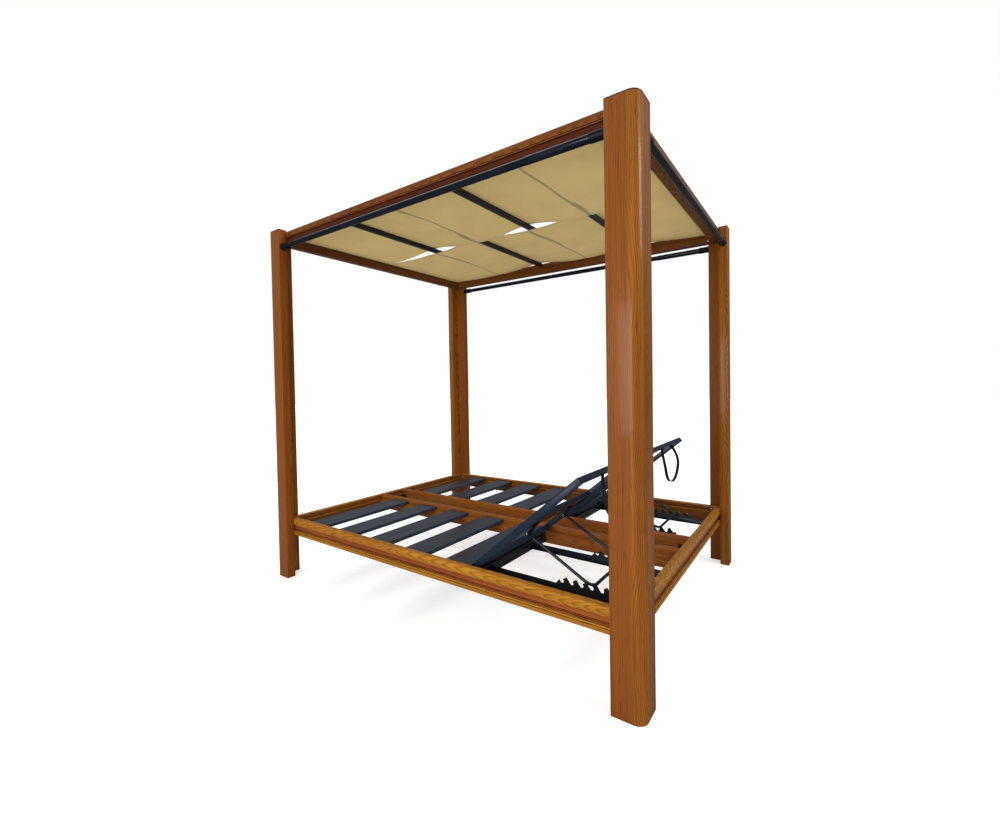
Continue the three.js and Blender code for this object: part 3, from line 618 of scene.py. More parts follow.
def smooth_copy(name, node, materials):
    """A merged copy of a CAD node, with its flat faces whole again."""
    made = bmesh.new()
    made.from_mesh(frame["nodes"][node].data)
    bmesh.ops.remove_doubles(made, verts=made.verts, dist=merge_distance)
    bmesh.ops.dissolve_limit(made, angle_limit=math.radians(flat_angle), verts=made.verts, edges=made.edges)
    for face in made.faces:
        face.material_index = 0
    return modelled(name, made, materials)


for side, toward_side in sides.items():
    node = f"middle_beam_{side}"
    beam = smooth_copy(f"{node}_profile", node, [middle_foil, black_coat])
    low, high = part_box(node)
    channel_face = (low.x if toward_side > 0 else -high.x) + middle_block
    for face in beam.data.polygons:
        if face.center.x * toward_side < channel_face - rail_edge:
            face.material_index = 1
    soften(beam, middle_edge)
    belongs(beam, "frame", "wood_foil", node)


# Seat slats.
# Ten wide, flat aluminium tubes in a slate blue-grey powder coat, loose on the ledges, their open
# ends closed by thin black plugs.

slat_edge = 0.003
slat_plug = 0.0012
plug_inset = 0.0006
slat_count = 5
slate_coat = coat("slate_coat", (0.015, 0.024, 0.040), (0.027, 0.038, 0.056), 0.40, 0.36,
                  shine={"Specular IOR Level": 0.42})
plug_plastic = coat("plug_plastic", (0.0045, 0.0050, 0.0060), (0.009, 0.010, 0.012), 0.2, 0.50)


def geometry_tree(name, inputs):
    """A geometry tree with named inputs, and the sockets that they give."""
    tree = bpy.data.node_groups.new(name, "GeometryNodeTree")
    tree.interface.new_socket("Geometry", in_out="INPUT", socket_type="NodeSocketGeometry")
    kinds = {"vector": "NodeSocketVector", "value": "NodeSocketFloat", "count": "NodeSocketInt",
             "material": "NodeSocketMaterial"}
    for label, kind in inputs.items():
        tree.interface.new_socket(label, in_out="INPUT", socket_type=kinds[kind])
    tree.interface.new_socket("Geometry", in_out="OUTPUT", socket_type="NodeSocketGeometry")
    return tree, tree.nodes.new("NodeGroupInput").outputs


def grown(name, tree, values, mesh=None):
    """Runs a geometry tree and keeps its result as the object's plain mesh."""
    thing = shown(name, mesh or bpy.data.meshes.new(name))
    modifier = thing.modifiers.new("grown", "NODES")
    modifier.node_group = tree
    for socket in tree.interface.items_tree:
        if socket.item_type == "SOCKET" and socket.in_out == "INPUT" and socket.name in values:
            modifier[socket.identifier] = values[socket.name]
    keep_modifiers(thing)
    shade(thing)
    return thing


bar_tree, given = geometry_tree("tubes_in_a_row", {
    "Count": "count", "First": "vector", "Pitch": "vector", "Length": "value", "Width": "value",
    "Height": "value", "Edge": "value", "Plug": "value", "Material": "material", "Plug Material": "material",
})


def bar_between(tree, given, start, stop, shrink, material):
    """A closed tube along X between two distances from its middle, with its section made smaller."""
    width = calculated(tree, "SUBTRACT", given["Width"], shrink)
    height = calculated(tree, "SUBTRACT", given["Height"], shrink)
    section = add(tree, "GeometryNodeCurvePrimitiveQuadrilateral", {"Width": width, "Height": height})
    round_section = add(tree, "GeometryNodeFilletCurve",
                        {"Curve": section.outputs["Curve"], "Radius": given["Edge"], "Count": edge_steps,
                         "Limit Radius": True}, mode="POLY")
    ends_at = [add(tree, "ShaderNodeCombineXYZ", {"X": x}).outputs[0] for x in (start, stop)]
    line = add(tree, "GeometryNodeCurvePrimitiveLine", {"Start": ends_at[0], "End": ends_at[1]})
    level_line = add(tree, "GeometryNodeSetCurveNormal", {"Curve": line.outputs["Curve"]}, mode="Z_UP")
    swept = add(tree, "GeometryNodeCurveToMesh",
                {"Curve": level_line.outputs["Curve"], "Profile Curve": round_section.outputs["Curve"],
                 "Fill Caps": True})
    dressed = {"Geometry": swept.outputs["Mesh"], "Material": material}
    return add(tree, "GeometryNodeSetMaterial", dressed).outputs[0]


half_length = calculated(bar_tree, "MULTIPLY", given["Length"], 0.5)
body_end = calculated(bar_tree, "SUBTRACT", half_length, given["Plug"])
body_start = calculated(bar_tree, "MULTIPLY", body_end, -1.0)
bar_start = calculated(bar_tree, "MULTIPLY", half_length, -1.0)
parts = [
    bar_between(bar_tree, given, body_start, body_end, 0.0, given["Material"]),
    bar_between(bar_tree, given, bar_start, body_start, plug_inset, given["Plug Material"]),
    bar_between(bar_tree, given, body_end, half_length, plug_inset, given["Plug Material"]),
]
joined = add(bar_tree, "GeometryNodeJoinGeometry")
for part in reversed(parts):
    bar_tree.links.new(part, joined.inputs[0])
row = add(bar_tree, "GeometryNodeMeshLine", {"Count": given["Count"], "Start Location": given["First"],
                                             "Offset": given["Pitch"]})
copies = add(bar_tree, "GeometryNodeInstanceOnPoints", {"Points": row.outputs["Mesh"],
                                                        "Instance": joined.outputs[0]})
real = add(bar_tree, "GeometryNodeRealizeInstances", {"Geometry": copies.outputs[0]})
add(bar_tree, "NodeGroupOutput", {"Geometry": real.outputs[0]})


def tubes(name, low, high, count, pitch, edge, plug, material):
    """Tubes along X that fill the box of the first one, repeated by a pitch."""
    size = high - low
    values = {"Count": count, "First": (low + high) / 2, "Pitch": pitch, "Length": size.x, "Width": size.y,
              "Height": size.z, "Edge": edge, "Plug": plug, "Material": material,
              "Plug Material": plug_plastic}
    return grown(name, bar_tree, values)


for side in sides:
    names = [f"seat_slat_{side}_{i + 1}" for i in range(slat_count)]
    low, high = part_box(names[0])
    pitch = (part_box(names[-1])[0] - low) / (slat_count - 1)
    slats = tubes(f"seat_slats_{side}", low, high, slat_count, pitch, slat_edge, slat_plug, slate_coat)
    belongs(slats, "frame", "slate_metal", *names)


# Hinge beams and adjustment racks.
# Black powder-coated steel. On each lounger a square tube has two drilled lugs for the backrest's pins
# and a thin upright lip below the last slat, and two angles have an upright cut to hooked teeth.

hinge_edge = 0.0012
rack_edge = 0.0005
hinge_beam_drop = 0.047
hinge_lip = 0.003
hinge_lip_gap = 0.0006
hinge_lip_from_tube = 0.016

for side in sides:
    beam = smooth_copy(f"hinge_beam_{side}_tube", f"hinge_beam_{side}", [black_coat])
    soften(beam, hinge_edge)
    belongs(beam, "frame", "black_steel", f"hinge_beam_{side}")
    beam_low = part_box(f"hinge_beam_{side}")[0]
    beam_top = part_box("deck_rail_left")[1].z - hinge_beam_drop
    lip_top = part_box(f"seat_slat_{side}_{slat_count}")[0].z - hinge_lip_gap
    tube_boxes = sorted((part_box(f"backrest_tube_{side}_{place}") for place in ("outer", "inner")),
                        key=lambda box: box[0].x)
    lip_start = tube_boxes[0][1].x + hinge_lip_from_tube
    lip_stop = tube_boxes[1][0].x - hinge_lip_from_tube
    lip_bottom = beam_top - hinge_lip
    lip_corners = ((beam_low.y, lip_bottom), (beam_low.y + hinge_lip, lip_bottom),
                   (beam_low.y + hinge_lip, lip_top), (beam_low.y, lip_top))
    lip = prism(f"hinge_lip_{side}", [(Vector(corner), 0) for corner in lip_corners],
                lambda p: (lip_start, p.x, p.y), lambda p: (lip_stop, p.x, p.y), [black_coat])
    soften(lip, rack_edge)
    belongs(lip, "frame", "black_steel")
    for place in ("outer", "inner"):
        node = f"adjustment_rack_{side}_{place}"
        rack = smooth_copy(f"{node}_angle", node, [black_coat])
        soften(rack, rack_edge)
        belongs(rack, "frame", "black_steel", node)


# Backrests.
# Each is a frame of slate powder-coated tubes: two flat side tubes round at the hinge, a cross tube
# below, a flat slat in the middle and a square bar on top, with black plugs and bolted brackets.

tube_edge = 0.0022
square_edge = 0.0025
tube_plug = 0.0004
back_slat_width = 0.101
back_slat_height = 0.022
bracket_thickness = 0.004
bracket_radius = 0.012
bracket_seat = 0.060
bracket_slant = 135
bracket_gap = 0.001
bracket_edge = 0.0006
bolt_radius = 0.004
bolt_head_radius = 0.0068
bolt_head_height = 0.0045
bolt_head_shares = ((0, 1), (0.55, 1), (0.85, 0.82), (1, 0.5), (0.6, 0.42))
button_radius = 0.0055
button_from_end = 0.012
button_sunk = 0.0005
button_edge = 0.0006
button_shoulder = 0.0012
button_height = 0.0014
button_shoulder_share = 0.75
pinhole = 0.0002
turned_smooth = 50
strut_radius = 0.007
eye_radius = 0.0105
arc_steps = 16
round_sides = 32
head_sides = 24
nut_sides = 6
joints = {joint["name"]: joint for joint in frame["joints"]}
hinges = {side: joints[f"backrest_hinge_{side}"] for side in sides}
rest_angles = {side: math.radians(-hinge["range_deg"][0]) for side, hinge in hinges.items()}
slopes = {side: Matrix.Translation((0, *hinge["pos_m"][1:])) @ Matrix.Rotation(rest_angles[side], 4, "X")
          for side, hinge in hinges.items()}
dark_slate_coat = coat("dark_slate_coat", (0.008, 0.016, 0.032), (0.014, 0.025, 0.045), 0.15, 0.30,
                       shine={"Specular IOR Level": 0.18})
bright_bolt = coat("bright_bolt", (0.50, 0.50, 0.52), (0.62, 0.62, 0.64), 0.3, 0.26, shine={"Metallic": 1.0})


def local_box(node, inverse):
    """The lowest and highest corners of a CAD node in a turned frame."""
    places = [inverse @ vertex.co for vertex in frame["nodes"][node].data.vertices]
    low = Vector(min(place[i] for place in places) for i in range(3))
    high = Vector(max(place[i] for place in places) for i in range(3))
    return low, high


def turned_solid(name, profile, start, way, materials, count=round_sides):
    """A solid of revolution; the profile is (distance along, radius), and it closes on its axis."""
    made = bmesh.new()
    turn = way.to_track_quat("Z", "Y").to_matrix()
    rings = []
    for along, radius in profile:
        ring = []
        for i in range(count):
            angle = 2 * math.pi * i / count
            spoke = turn @ Vector((radius * math.cos(angle), radius * math.sin(angle), along))
            ring.append(made.verts.new(start + spoke))
        rings.append(ring)
    for before, after in zip(rings, rings[1:]):
        for i in range(count):
            j = (i + 1) % count
            made.faces.new((before[i], before[j], after[j], after[i]))
    made.faces.new(rings[0])
    made.faces.new(rings[-1])
    bmesh.ops.recalc_face_normals(made, faces=made.faces)
    thing = modelled(name, made, materials)
    shade(thing, turned_smooth)
    return thing


def joined_piece(name, things):
    """Several meshes as one piece that keeps their materials."""
    made = bmesh.new()
    materials = []
    for thing in things:
        for material in thing.data.materials:
            if material not in materials:
                materials.append(material)
        start = len(made.faces)
        made.from_mesh(thing.data)
        made.faces.ensure_lookup_table()
        own = [materials.index(material) for material in thing.data.materials]
        for face in made.faces[start:]:
            face.material_index = own[face.material_index]
    for thing in things:
        bpy.data.objects.remove(thing)
    return modelled(name, made, materials)


strut_centres = {}
for side, toward_side in sides.items():
    slope = slopes[side]
    flat = slope.inverted()
    body = f"backrest_{side}"
    for place in ("outer", "inner"):
        node = f"backrest_tube_{side}_{place}"
        tube = smooth_copy(f"{node}_profile", node, [dark_slate_coat])
        soften(tube, tube_edge)
        belongs(tube, body, "slate_metal", node)
    for node in (f"backrest_cross_tube_{side}", f"backrest_top_bar_{side}"):
        low, high = local_box(node, flat)
        bar = tubes(f"{node}_profile", low, high, 1, (0, 0, 0), square_edge, tube_plug, dark_slate_coat)
        bar.data.transform(slope)
        belongs(bar, body, "slate_metal", node)

    node = f"backrest_slat_{side}"
    low, high = local_box(node, flat)
    under = high.z - back_slat_height
    slat_low = Vector((low.x, high.y - back_slat_width, under))
    slat = tubes(f"{node}_profile", slat_low, high, 1, (0, 0, 0), slat_edge, tube_plug, dark_slate_coat)
    pivot = flat @ Vector(joints[f"strut_hinge_{side}"]["pos_m"])
    strut_low, strut_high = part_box(f"support_strut_{side}")
    middle = (strut_low.x + strut_high.x) / 2
    half_strut = (strut_high.x - strut_low.x) / 2
    strut_centres[side] = (middle, half_strut - strut_radius)
    seat_start = slat_low.y + slat_edge
    outline = [(Vector((seat_start + bracket_seat, under)), 0), (Vector((seat_start, under)), 0)]
    for i in range(arc_steps + 1):
        turn = math.radians(bracket_slant) + math.pi * i / arc_steps
        outline.append((Vector((pivot.y + bracket_radius * math.cos(turn),
                                pivot.z + bracket_radius * math.sin(turn))), 0))
    head = [(bolt_head_height * up_share, bolt_head_radius * out_share)
            for up_share, out_share in bolt_head_shares]
    head.append((head[-1][0], pinhole))
    nut = [(0, bolt_head_radius), (bolt_head_height, bolt_head_radius), (bolt_head_height, pinhole)]
    parts = [slat]
    for sign in (1, -1):
        far = half_strut - 2 * strut_radius - bracket_gap
        near_x = middle + sign * (far - bracket_thickness)
        far_x = middle + sign * far
        plate = prism("plate", outline, lambda p, x=near_x: (x, p.x, p.y), lambda p, x=far_x: (x, p.x, p.y),
                      [black_coat])
        soften(plate, bracket_edge)
        head_x = half_strut + bracket_gap
        shank = [(0, bolt_radius), (head_x - far + bracket_thickness, bolt_radius)]
        way = Vector((sign, 0, 0))
        head_start = Vector((middle + sign * head_x, pivot.y, pivot.z))
        nut_start = Vector((near_x, pivot.y, pivot.z))
        parts.append(plate)
        parts.append(turned_solid("shank", shank, nut_start, way, [bright_bolt]))
        parts.append(turned_solid("head", head, head_start, way, [bright_bolt], head_sides))
        parts.append(turned_solid("nut", nut, nut_start, -way, [bright_bolt], nut_sides))
    whole = joined_piece(f"{node}_with_brackets", parts)
    whole.data.transform(slope)
    belongs(whole, body, "slate_metal", node)

    tube_low, tube_high = local_box(f"backrest_tube_{side}_outer", flat)
    button_place = Vector((tube_high.x if toward_side > 0 else tube_low.x, tube_high.y - button_from_end,
                           (tube_low.z + tube_high.z) / 2))
    button = [(-button_sunk, button_radius), (button_edge, button_radius),
              (button_shoulder, button_radius * button_shoulder_share), (button_height, 2 * pinhole)]
    way = Vector((toward_side, 0, 0))
    plug = turned_solid(f"tube_plug_{side}", button, button_place, way, [plug_plastic])
    plug.data.transform(slope)
    belongs(plug, body, "black_steel")


# Support struts.
# A round black bar bent to a U: two legs with drilled eyes on the bracket bolts, and a cross bar
# that props the backrest against the racks.

strut_bend = 0.040
strut_sides = 28
bar_smooth = 40
bend_steps = 14
eye_clearance = 0.0004
eye_edge = 0.001
eye_hole = bolt_radius + eye_clearance
eye_width = 2 * strut_radius
eye = [(0, eye_hole), (0, eye_radius - eye_edge), (eye_edge, eye_radius), (eye_width - eye_edge, eye_radius),
       (eye_width, eye_radius - eye_edge), (eye_width, eye_hole)]

sweep_tree, given = geometry_tree("round_bar_along_a_line", {
    "Radius": "value", "Sides": "count", "Material": "material",
})
line = add(sweep_tree, "GeometryNodeMeshToCurve", {"Mesh": given["Geometry"]})
circle = add(sweep_tree, "GeometryNodeCurvePrimitiveCircle",
             {"Resolution": given["Sides"], "Radius": given["Radius"]})
bar = add(sweep_tree, "GeometryNodeCurveToMesh",
          {"Curve": line.outputs["Curve"], "Profile Curve": circle.outputs["Curve"], "Fill Caps": True})
real = add(sweep_tree, "GeometryNodeRealizeInstances", {"Geometry": bar.outputs["Mesh"]})
dressed = add(sweep_tree, "GeometryNodeSetMaterial",
              {"Geometry": real.outputs[0], "Material": given["Material"]})
add(sweep_tree, "NodeGroupOutput", {"Geometry": dressed.outputs[0]})


def path_mesh(name, points):
    """A mesh of edges from point to point."""
    mesh = bpy.data.meshes.new(name)
    mesh.from_pydata(points, [(i, i + 1) for i in range(len(points) - 1)], [])
    return mesh


for side in sides:
    node = f"support_strut_{side}"
    low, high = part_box(node)
    middle, half_width = strut_centres[side]
    pivot = Vector(joints[f"strut_hinge_{side}"]["pos_m"])
    bar_middle = Vector((0, high.y - strut_radius, low.z + strut_radius))
    run = Vector((0, bar_middle.y - pivot.y, bar_middle.z - pivot.z))
    length = run.length
    ahead = run.normalized()
    leg_start = (eye_radius + eye_hole) / 2
    route = []
    for sign in (-1, 1):
        half = [(sign * half_width, leg_start)]
        for i in range(bend_steps + 1):
            turn = math.pi / 2 * i / bend_steps
            half.append((sign * (half_width - strut_bend * (1 - math.cos(turn))),
                         length - strut_bend * (1 - math.sin(turn))))
        route += half if sign < 0 else half[::-1]
    points = [Vector((middle + across, pivot.y, pivot.z)) + ahead * along for across, along in route]
    values = {"Radius": strut_radius, "Sides": strut_sides, "Material": black_coat}
    parts = [grown("bent_bar", sweep_tree, values, path_mesh("bent_bar", points))]
    for sign in (-1, 1):
        start = Vector((middle + sign * (half_width - strut_radius), pivot.y, pivot.z))
        parts.append(turned_solid("eye", eye, start, Vector((sign, 0, 0)), [black_coat]))
    strut = joined_piece(f"{node}_bar", parts)
    shade(strut, bar_smooth)
    belongs(strut, f"strut_{side}", "black_steel", node)


# Pull straps.
# A long oval loop of black polyester webbing under each top bar. Its two ends are gathered and stitched
# to the bar, and it swings a little towards the head end.

strap_width = 0.018
strap_thickness = 0.0018
strap_swing = 0.032
strap_swing_share = 0.62
strap_gather_run = 0.120
strap_top_share = 0.8
strap_belly_share = 1.5
strap_steps = 84
strap_seat = 0.0004
woven_smooth = 60
web_pitch = 0.0024
weave_relief = 0.0003
thread_swing_share = 0.35
thread_middle_share = 0.5
strap_edge_shares = ((-1, 0.4), (-0.94, 1), (0.94, 1), (1, 0.4),
                     (1, -0.4), (0.94, -1), (-0.94, -1), (-1, -0.4))

web_group, given = shader_group("webbing_weave", {
    "Vector": "vector", "Thread": "colour", "Gap": "colour", "Pitch": "value", "Gloss": "value",
})
tree = web_group
parted = add(tree, "ShaderNodeSeparateXYZ", {"Vector": given["Vector"]}).outputs
turns = calculated(tree, "DIVIDE", 2 * math.pi, given["Pitch"])
across = calculated(tree, "SINE", calculated(tree, "MULTIPLY", parted["X"], turns))
along = calculated(tree, "SINE", calculated(tree, "MULTIPLY", parted["Y"], turns))
crossing = calculated(tree, "MULTIPLY", across, along)
fibre = stretched_noise(tree, given["Vector"], stretch=1.0, scale=260, detail=3)
swings = {0: crossing, 1: thread_swing_share, 2: thread_middle_share}
thread_share = add(tree, "ShaderNodeMath", swings, operation="MULTIPLY_ADD").outputs[0]
cloudy = calculated(tree, "ADD", thread_share, eased(tree, fibre, 0.35, 0.65, -0.18, 0.18))
woven = blend_colours(tree, cloudy, given["Gap"], given["Thread"])
add(tree, "NodeGroupOutput", {"Colour": woven, "Roughness": given["Gloss"], "Height": thread_share})
webbing = finished("black_webbing", web_group, {
    "Thread": (0.009, 0.010, 0.012, 1), "Gap": (0.003, 0.003, 0.004, 1), "Pitch": web_pitch, "Gloss": 0.70,
}, bump=weave_relief, uv="web", shine={"Specular IOR Level": 0.25})


def ribbon(name, places, widths, thickness, materials, uv_name):
    """Flat webbing along a list of (place, outward) pairs, with its width along Y and a slant."""
    made = bmesh.new()
    uv = made.loops.layers.uv.new(uv_name)
    rings = []
    run = 0.0
    runs = []
    for i, (place, outward) in enumerate(places):
        if i:
            run += (place - places[i - 1][0]).length
        runs.append(run)
        width_way = widths[i]
        half = thickness / 2
        rings.append([made.verts.new(place + width_way * across_share + outward * half * up_share)
                      for across_share, up_share in strap_edge_shares])
    count = len(rings[0])
    for i in range(len(rings) - 1):
        for j in range(count):
            k = (j + 1) % count
            face = made.faces.new((rings[i][j], rings[i + 1][j], rings[i + 1][k], rings[i][k]))
            for loop, (ring, spot) in zip(face.loops, ((i, j), (i + 1, j), (i + 1, k), (i, k))):
                offset = rings[ring][spot].co - places[ring][0]
                across = offset.dot(widths[ring].normalized())
                loop[uv].uv = (across, runs[ring])
    made.faces.new(rings[0])
    made.faces.new(rings[-1])
    bmesh.ops.recalc_face_normals(made, faces=made.faces)
    thing = modelled(name, made, materials)
    shade(thing, woven_smooth)
    return thing


for side in sides:
    node = f"pull_strap_{side}"
    low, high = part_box(node)
    bar_low, bar_high = local_box(f"backrest_top_bar_{side}", slopes[side].inverted())
    top = slopes[side] @ Vector((0, (bar_low.y + bar_high.y) / 2, bar_low.z))
    centre = (low.x + high.x) / 2
    radius = (high.x - low.x - strap_thickness) / 2
    top_z = top.z - strap_seat
    drop = top_z - low.z - strap_thickness / 2
    # The loop is an upright ellipse, cut off above where its two ends meet the bar.
    belly = radius * strap_belly_share
    start = -math.acos(1 / strap_belly_share)
    height = drop / (1 - math.sin(start))
    places = []
    widths = []
    for i in range(strap_steps + 1):
        turn = start + (math.pi - 2 * start) * i / strap_steps
        across = belly * math.cos(turn)
        down = height * (math.sin(turn) - math.sin(start))
        outward = Vector((height * math.cos(turn), 0, -belly * math.sin(turn))).normalized()
        ease = math.sin(math.pi / 2 * min(down / (drop * strap_swing_share), 1))
        slant = max(1 - down / strap_gather_run, 0)
        width = strap_width / 2 * (1 - slant * (1 - strap_top_share))
        places.append((Vector((centre + across, top.y + strap_swing * ease, top_z - down)), outward))
        widths.append(Vector((0, width, slant * slant * width * math.tan(rest_angles[side]))))
    strap = ribbon(f"{node}_loop", places, widths, strap_thickness, [webbing], "web")
    belongs(strap, f"backrest_{side}", "strap_webbing", node)


# Canopy cross bars.
# Four square black tubes that lie on the ledges of the side beams and carry the cloth, which is
# woven over one and under the next.

bar_count = 4
bar_edge = 0.002
bar_plug = 0.002
bar_names = [f"canopy_bar_{i + 1}" for i in range(bar_count)]
low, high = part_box(bar_names[0])
pitch = (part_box(bar_names[-1])[0] - low) / (bar_count - 1)
bars = tubes("canopy_cross_bars", low, high, bar_count, pitch, bar_edge, bar_plug, black_coat)
belongs(bars, "frame", "black_steel", *bar_names)
bar_places = [(low.y + high.y) / 2 + pitch.y * i for i in range(bar_count)]
bar_half = (high.y - low.y) / 2
bar_under = low.z
bar_over = high.z


# Canopy cloths.
# Two strips of sand-coloured outdoor canvas, hemmed at their ends and inner edges, each pulled over one
# cross bar and under the next. A painted shadow line shows where a bar lies above the cloth, the end
# hems and a band at the right strip's inner edge are painted darker as shade, and the left strip's
# inner edge curls up.

cloth_thickness = 0.0012
cloth_gap = 0.0012
cloth_sag = 0.004
cloth_curl = 0.004
cloth_curl_width = 0.075
cloth_curl_steps = 10
cloth_curl_crowding = 1.4
cloth_step = 0.008
cloth_wide_steps = 60
cloth_overreach = 0.004
hem_width = 0.018
wave_height = 0.0022
wave_turn_across = 23
wave_turn_along = 7.5
wave_slant = 3
wave_start = 1.3
wave_calm_at_bar = 0.06
wave_calm_at_end = 0.12
# Width of the painted shade band at the right strip's inner edge.
edge_shade_band = 0.024
# The painted shadow line of a bar above the cloth: its soft edges, its wander and its strength.
line_start = 0.004
line_stop = 0.017
line_wander = 0.16
bar_shadow_strength = 0.8
weave_roughness = 0.88
fibre_share = 0.45
cloud_share = 0.25
edge_shade_tone_share = 0.55
hem_shade_tone_share = 0.45
seam_tone_share = 0.55
thread_height_share = 0.4
seam_start = 0.0005
seam_stop = 0.0022
thread_pitch = 0.0011

cloth_group, given = shader_group("canvas_weave", {
    "Vector": "vector", "Cloth": "colour", "Shade": "colour", "Line": "colour", "Bar Shadow": "value",
    "Edge Shade": "value", "First Bar": "value", "Bar Pitch": "value", "Hem Length": "value", "Hem Width": "value",
})
tree = cloth_group
parted = add(tree, "ShaderNodeSeparateXYZ", {"Vector": given["Vector"]}).outputs
threads = [calculated(tree, "SINE", calculated(tree, "MULTIPLY", parted[key], 2 * math.pi / thread_pitch))
           for key in ("X", "Y")]
crossing = calculated(tree, "MULTIPLY", *threads)
fibre = stretched_noise(tree, given["Vector"], stretch=1.0, scale=420, detail=3)
cloud = stretched_noise(tree, given["Vector"], stretch=1.0, scale=5, detail=2)
swing = stretched_noise(tree, given["Vector"], stretch=0.2, scale=9, detail=1)
fibres = eased(tree, fibre, 0.30, 0.72, 0.0, fibre_share)
plain = blend_colours(tree, fibres, given["Cloth"], given["Shade"])
clouded = blend_colours(tree, eased(tree, cloud, 0.35, 0.70, 0.0, cloud_share), plain, given["Shade"])
bar_turn = calculated(tree, "DIVIDE", calculated(tree, "SUBTRACT", parted["Y"], given["First Bar"]),
                      given["Bar Pitch"])
# A painted shadow line along each bar that lies above the cloth, wandering a little.
wander = calculated(tree, "MULTIPLY", calculated(tree, "SUBTRACT", swing, 0.5), line_wander)
bar_share = calculated(tree, "ADD", bar_turn, wander)
past_bar = calculated(tree, "SUBTRACT", bar_share, calculated(tree, "ROUND", bar_share))
nearest = calculated(tree, "ABSOLUTE", past_bar)
from_middle = calculated(tree, "ABSOLUTE", calculated(tree, "SUBTRACT", bar_turn, 0.5))
near_a_bar = calculated(tree, "LESS_THAN", from_middle, 1.0)
bar_shadow_weight = calculated(tree, "MULTIPLY", given["Bar Shadow"], near_a_bar)
bar_shadow_share = calculated(tree, "MULTIPLY", eased(tree, nearest, line_start, line_stop, 1.0, 0.0), bar_shadow_weight)
lined = blend_colours(tree, bar_shadow_share, clouded, given["Line"])
# A painted shade band along the right strip's inner edge, widest at the bars it passes under, where the
# overlapping cloth lets less light through.
edge_shade_run = calculated(tree, "COSINE", calculated(tree, "MULTIPLY", bar_turn, math.pi))
edge_shade_width = calculated(tree, "MULTIPLY", near_a_bar, edge_shade_band)
edge_shade_reach = calculated(tree, "MULTIPLY", calculated(tree, "MULTIPLY", edge_shade_run, edge_shade_run), edge_shade_width)
in_edge_shade = calculated(tree, "MULTIPLY", calculated(tree, "LESS_THAN", parted["X"], edge_shade_reach), given["Edge Shade"])
edge_shaded = blend_colours(tree, calculated(tree, "MULTIPLY", in_edge_shade, edge_shade_tone_share), lined, given["Shade"])
end_room = calculated(tree, "SUBTRACT", given["Hem Length"], calculated(tree, "ABSOLUTE", parted["Y"]))
edge_room = calculated(tree, "MINIMUM", end_room, parted["X"])
hem_seam = calculated(tree, "ABSOLUTE", calculated(tree, "SUBTRACT", edge_room, given["Hem Width"]))
seam_share = eased(tree, hem_seam, seam_start, seam_stop, seam_tone_share, 0.0)
seamed = blend_colours(tree, seam_share, edge_shaded, given["Line"])
# The end hems are painted darker: painted shade of the double layer, which lets less light through.
in_hem = calculated(tree, "LESS_THAN", end_room, given["Hem Width"])
hem_shade_share = calculated(tree, "MULTIPLY", in_hem, hem_shade_tone_share)
hemmed = blend_colours(tree, hem_shade_share, seamed, given["Shade"])
thread_height = calculated(tree, "MULTIPLY", crossing, thread_height_share)
height = calculated(tree, "SUBTRACT", thread_height, seam_share)
add(tree, "NodeGroupOutput", {"Colour": hemmed, "Roughness": weave_roughness, "Height": height})

hem_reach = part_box("canopy_cloth_left")[1].y
bar_pitch = bar_places[1] - bar_places[0]
last_bar = bar_count - 1


def eased_share(share):
    """A share from 0 to 1 with level ends."""
    return share * share * (3 - 2 * share)


def cloth_height(y, over_first, hem_z, clear):
    """The middle of the cloth at a distance along the bed: level on each bar, eased between them."""
    held = [(-hem_reach, hem_z), (-hem_reach + hem_width, hem_z)]
    for i, bar in enumerate(bar_places):
        over = (i % 2 == 0) == over_first
        z = bar_over + clear if over else bar_under - clear
        held += [(bar - bar_half, z), (bar + bar_half, z)]
    held += [(hem_reach - hem_width, hem_z), (hem_reach, hem_z)]
    for (y0, z0), (y1, z1) in zip(held, held[1:]):
        if y <= y1 or (y1, z1) == held[-1]:
            share = min(max((y - y0) / (y1 - y0), 0), 1)
            arch = 4 * share * (1 - share)
            long_span = y1 - y0 > 3 * bar_half
            return z0 + (z1 - z0) * eased_share(share) - (cloth_sag * arch * arch if long_span else 0)
    return hem_z


def ripple(x, y):
    """Small waves that die out at the ends and beside each bar."""
    at_end = max(min((hem_reach - abs(y)) / wave_calm_at_end, 1), 0)
    near_bar = min(abs(y - bar) for bar in bar_places)
    at_bar = min(max(near_bar - bar_half, 0) / wave_calm_at_bar, 1)
    across = math.sin(wave_turn_across * x + wave_slant * y)
    along = math.sin(wave_turn_along * y + wave_start)
    return wave_height * across * along * at_end * at_bar


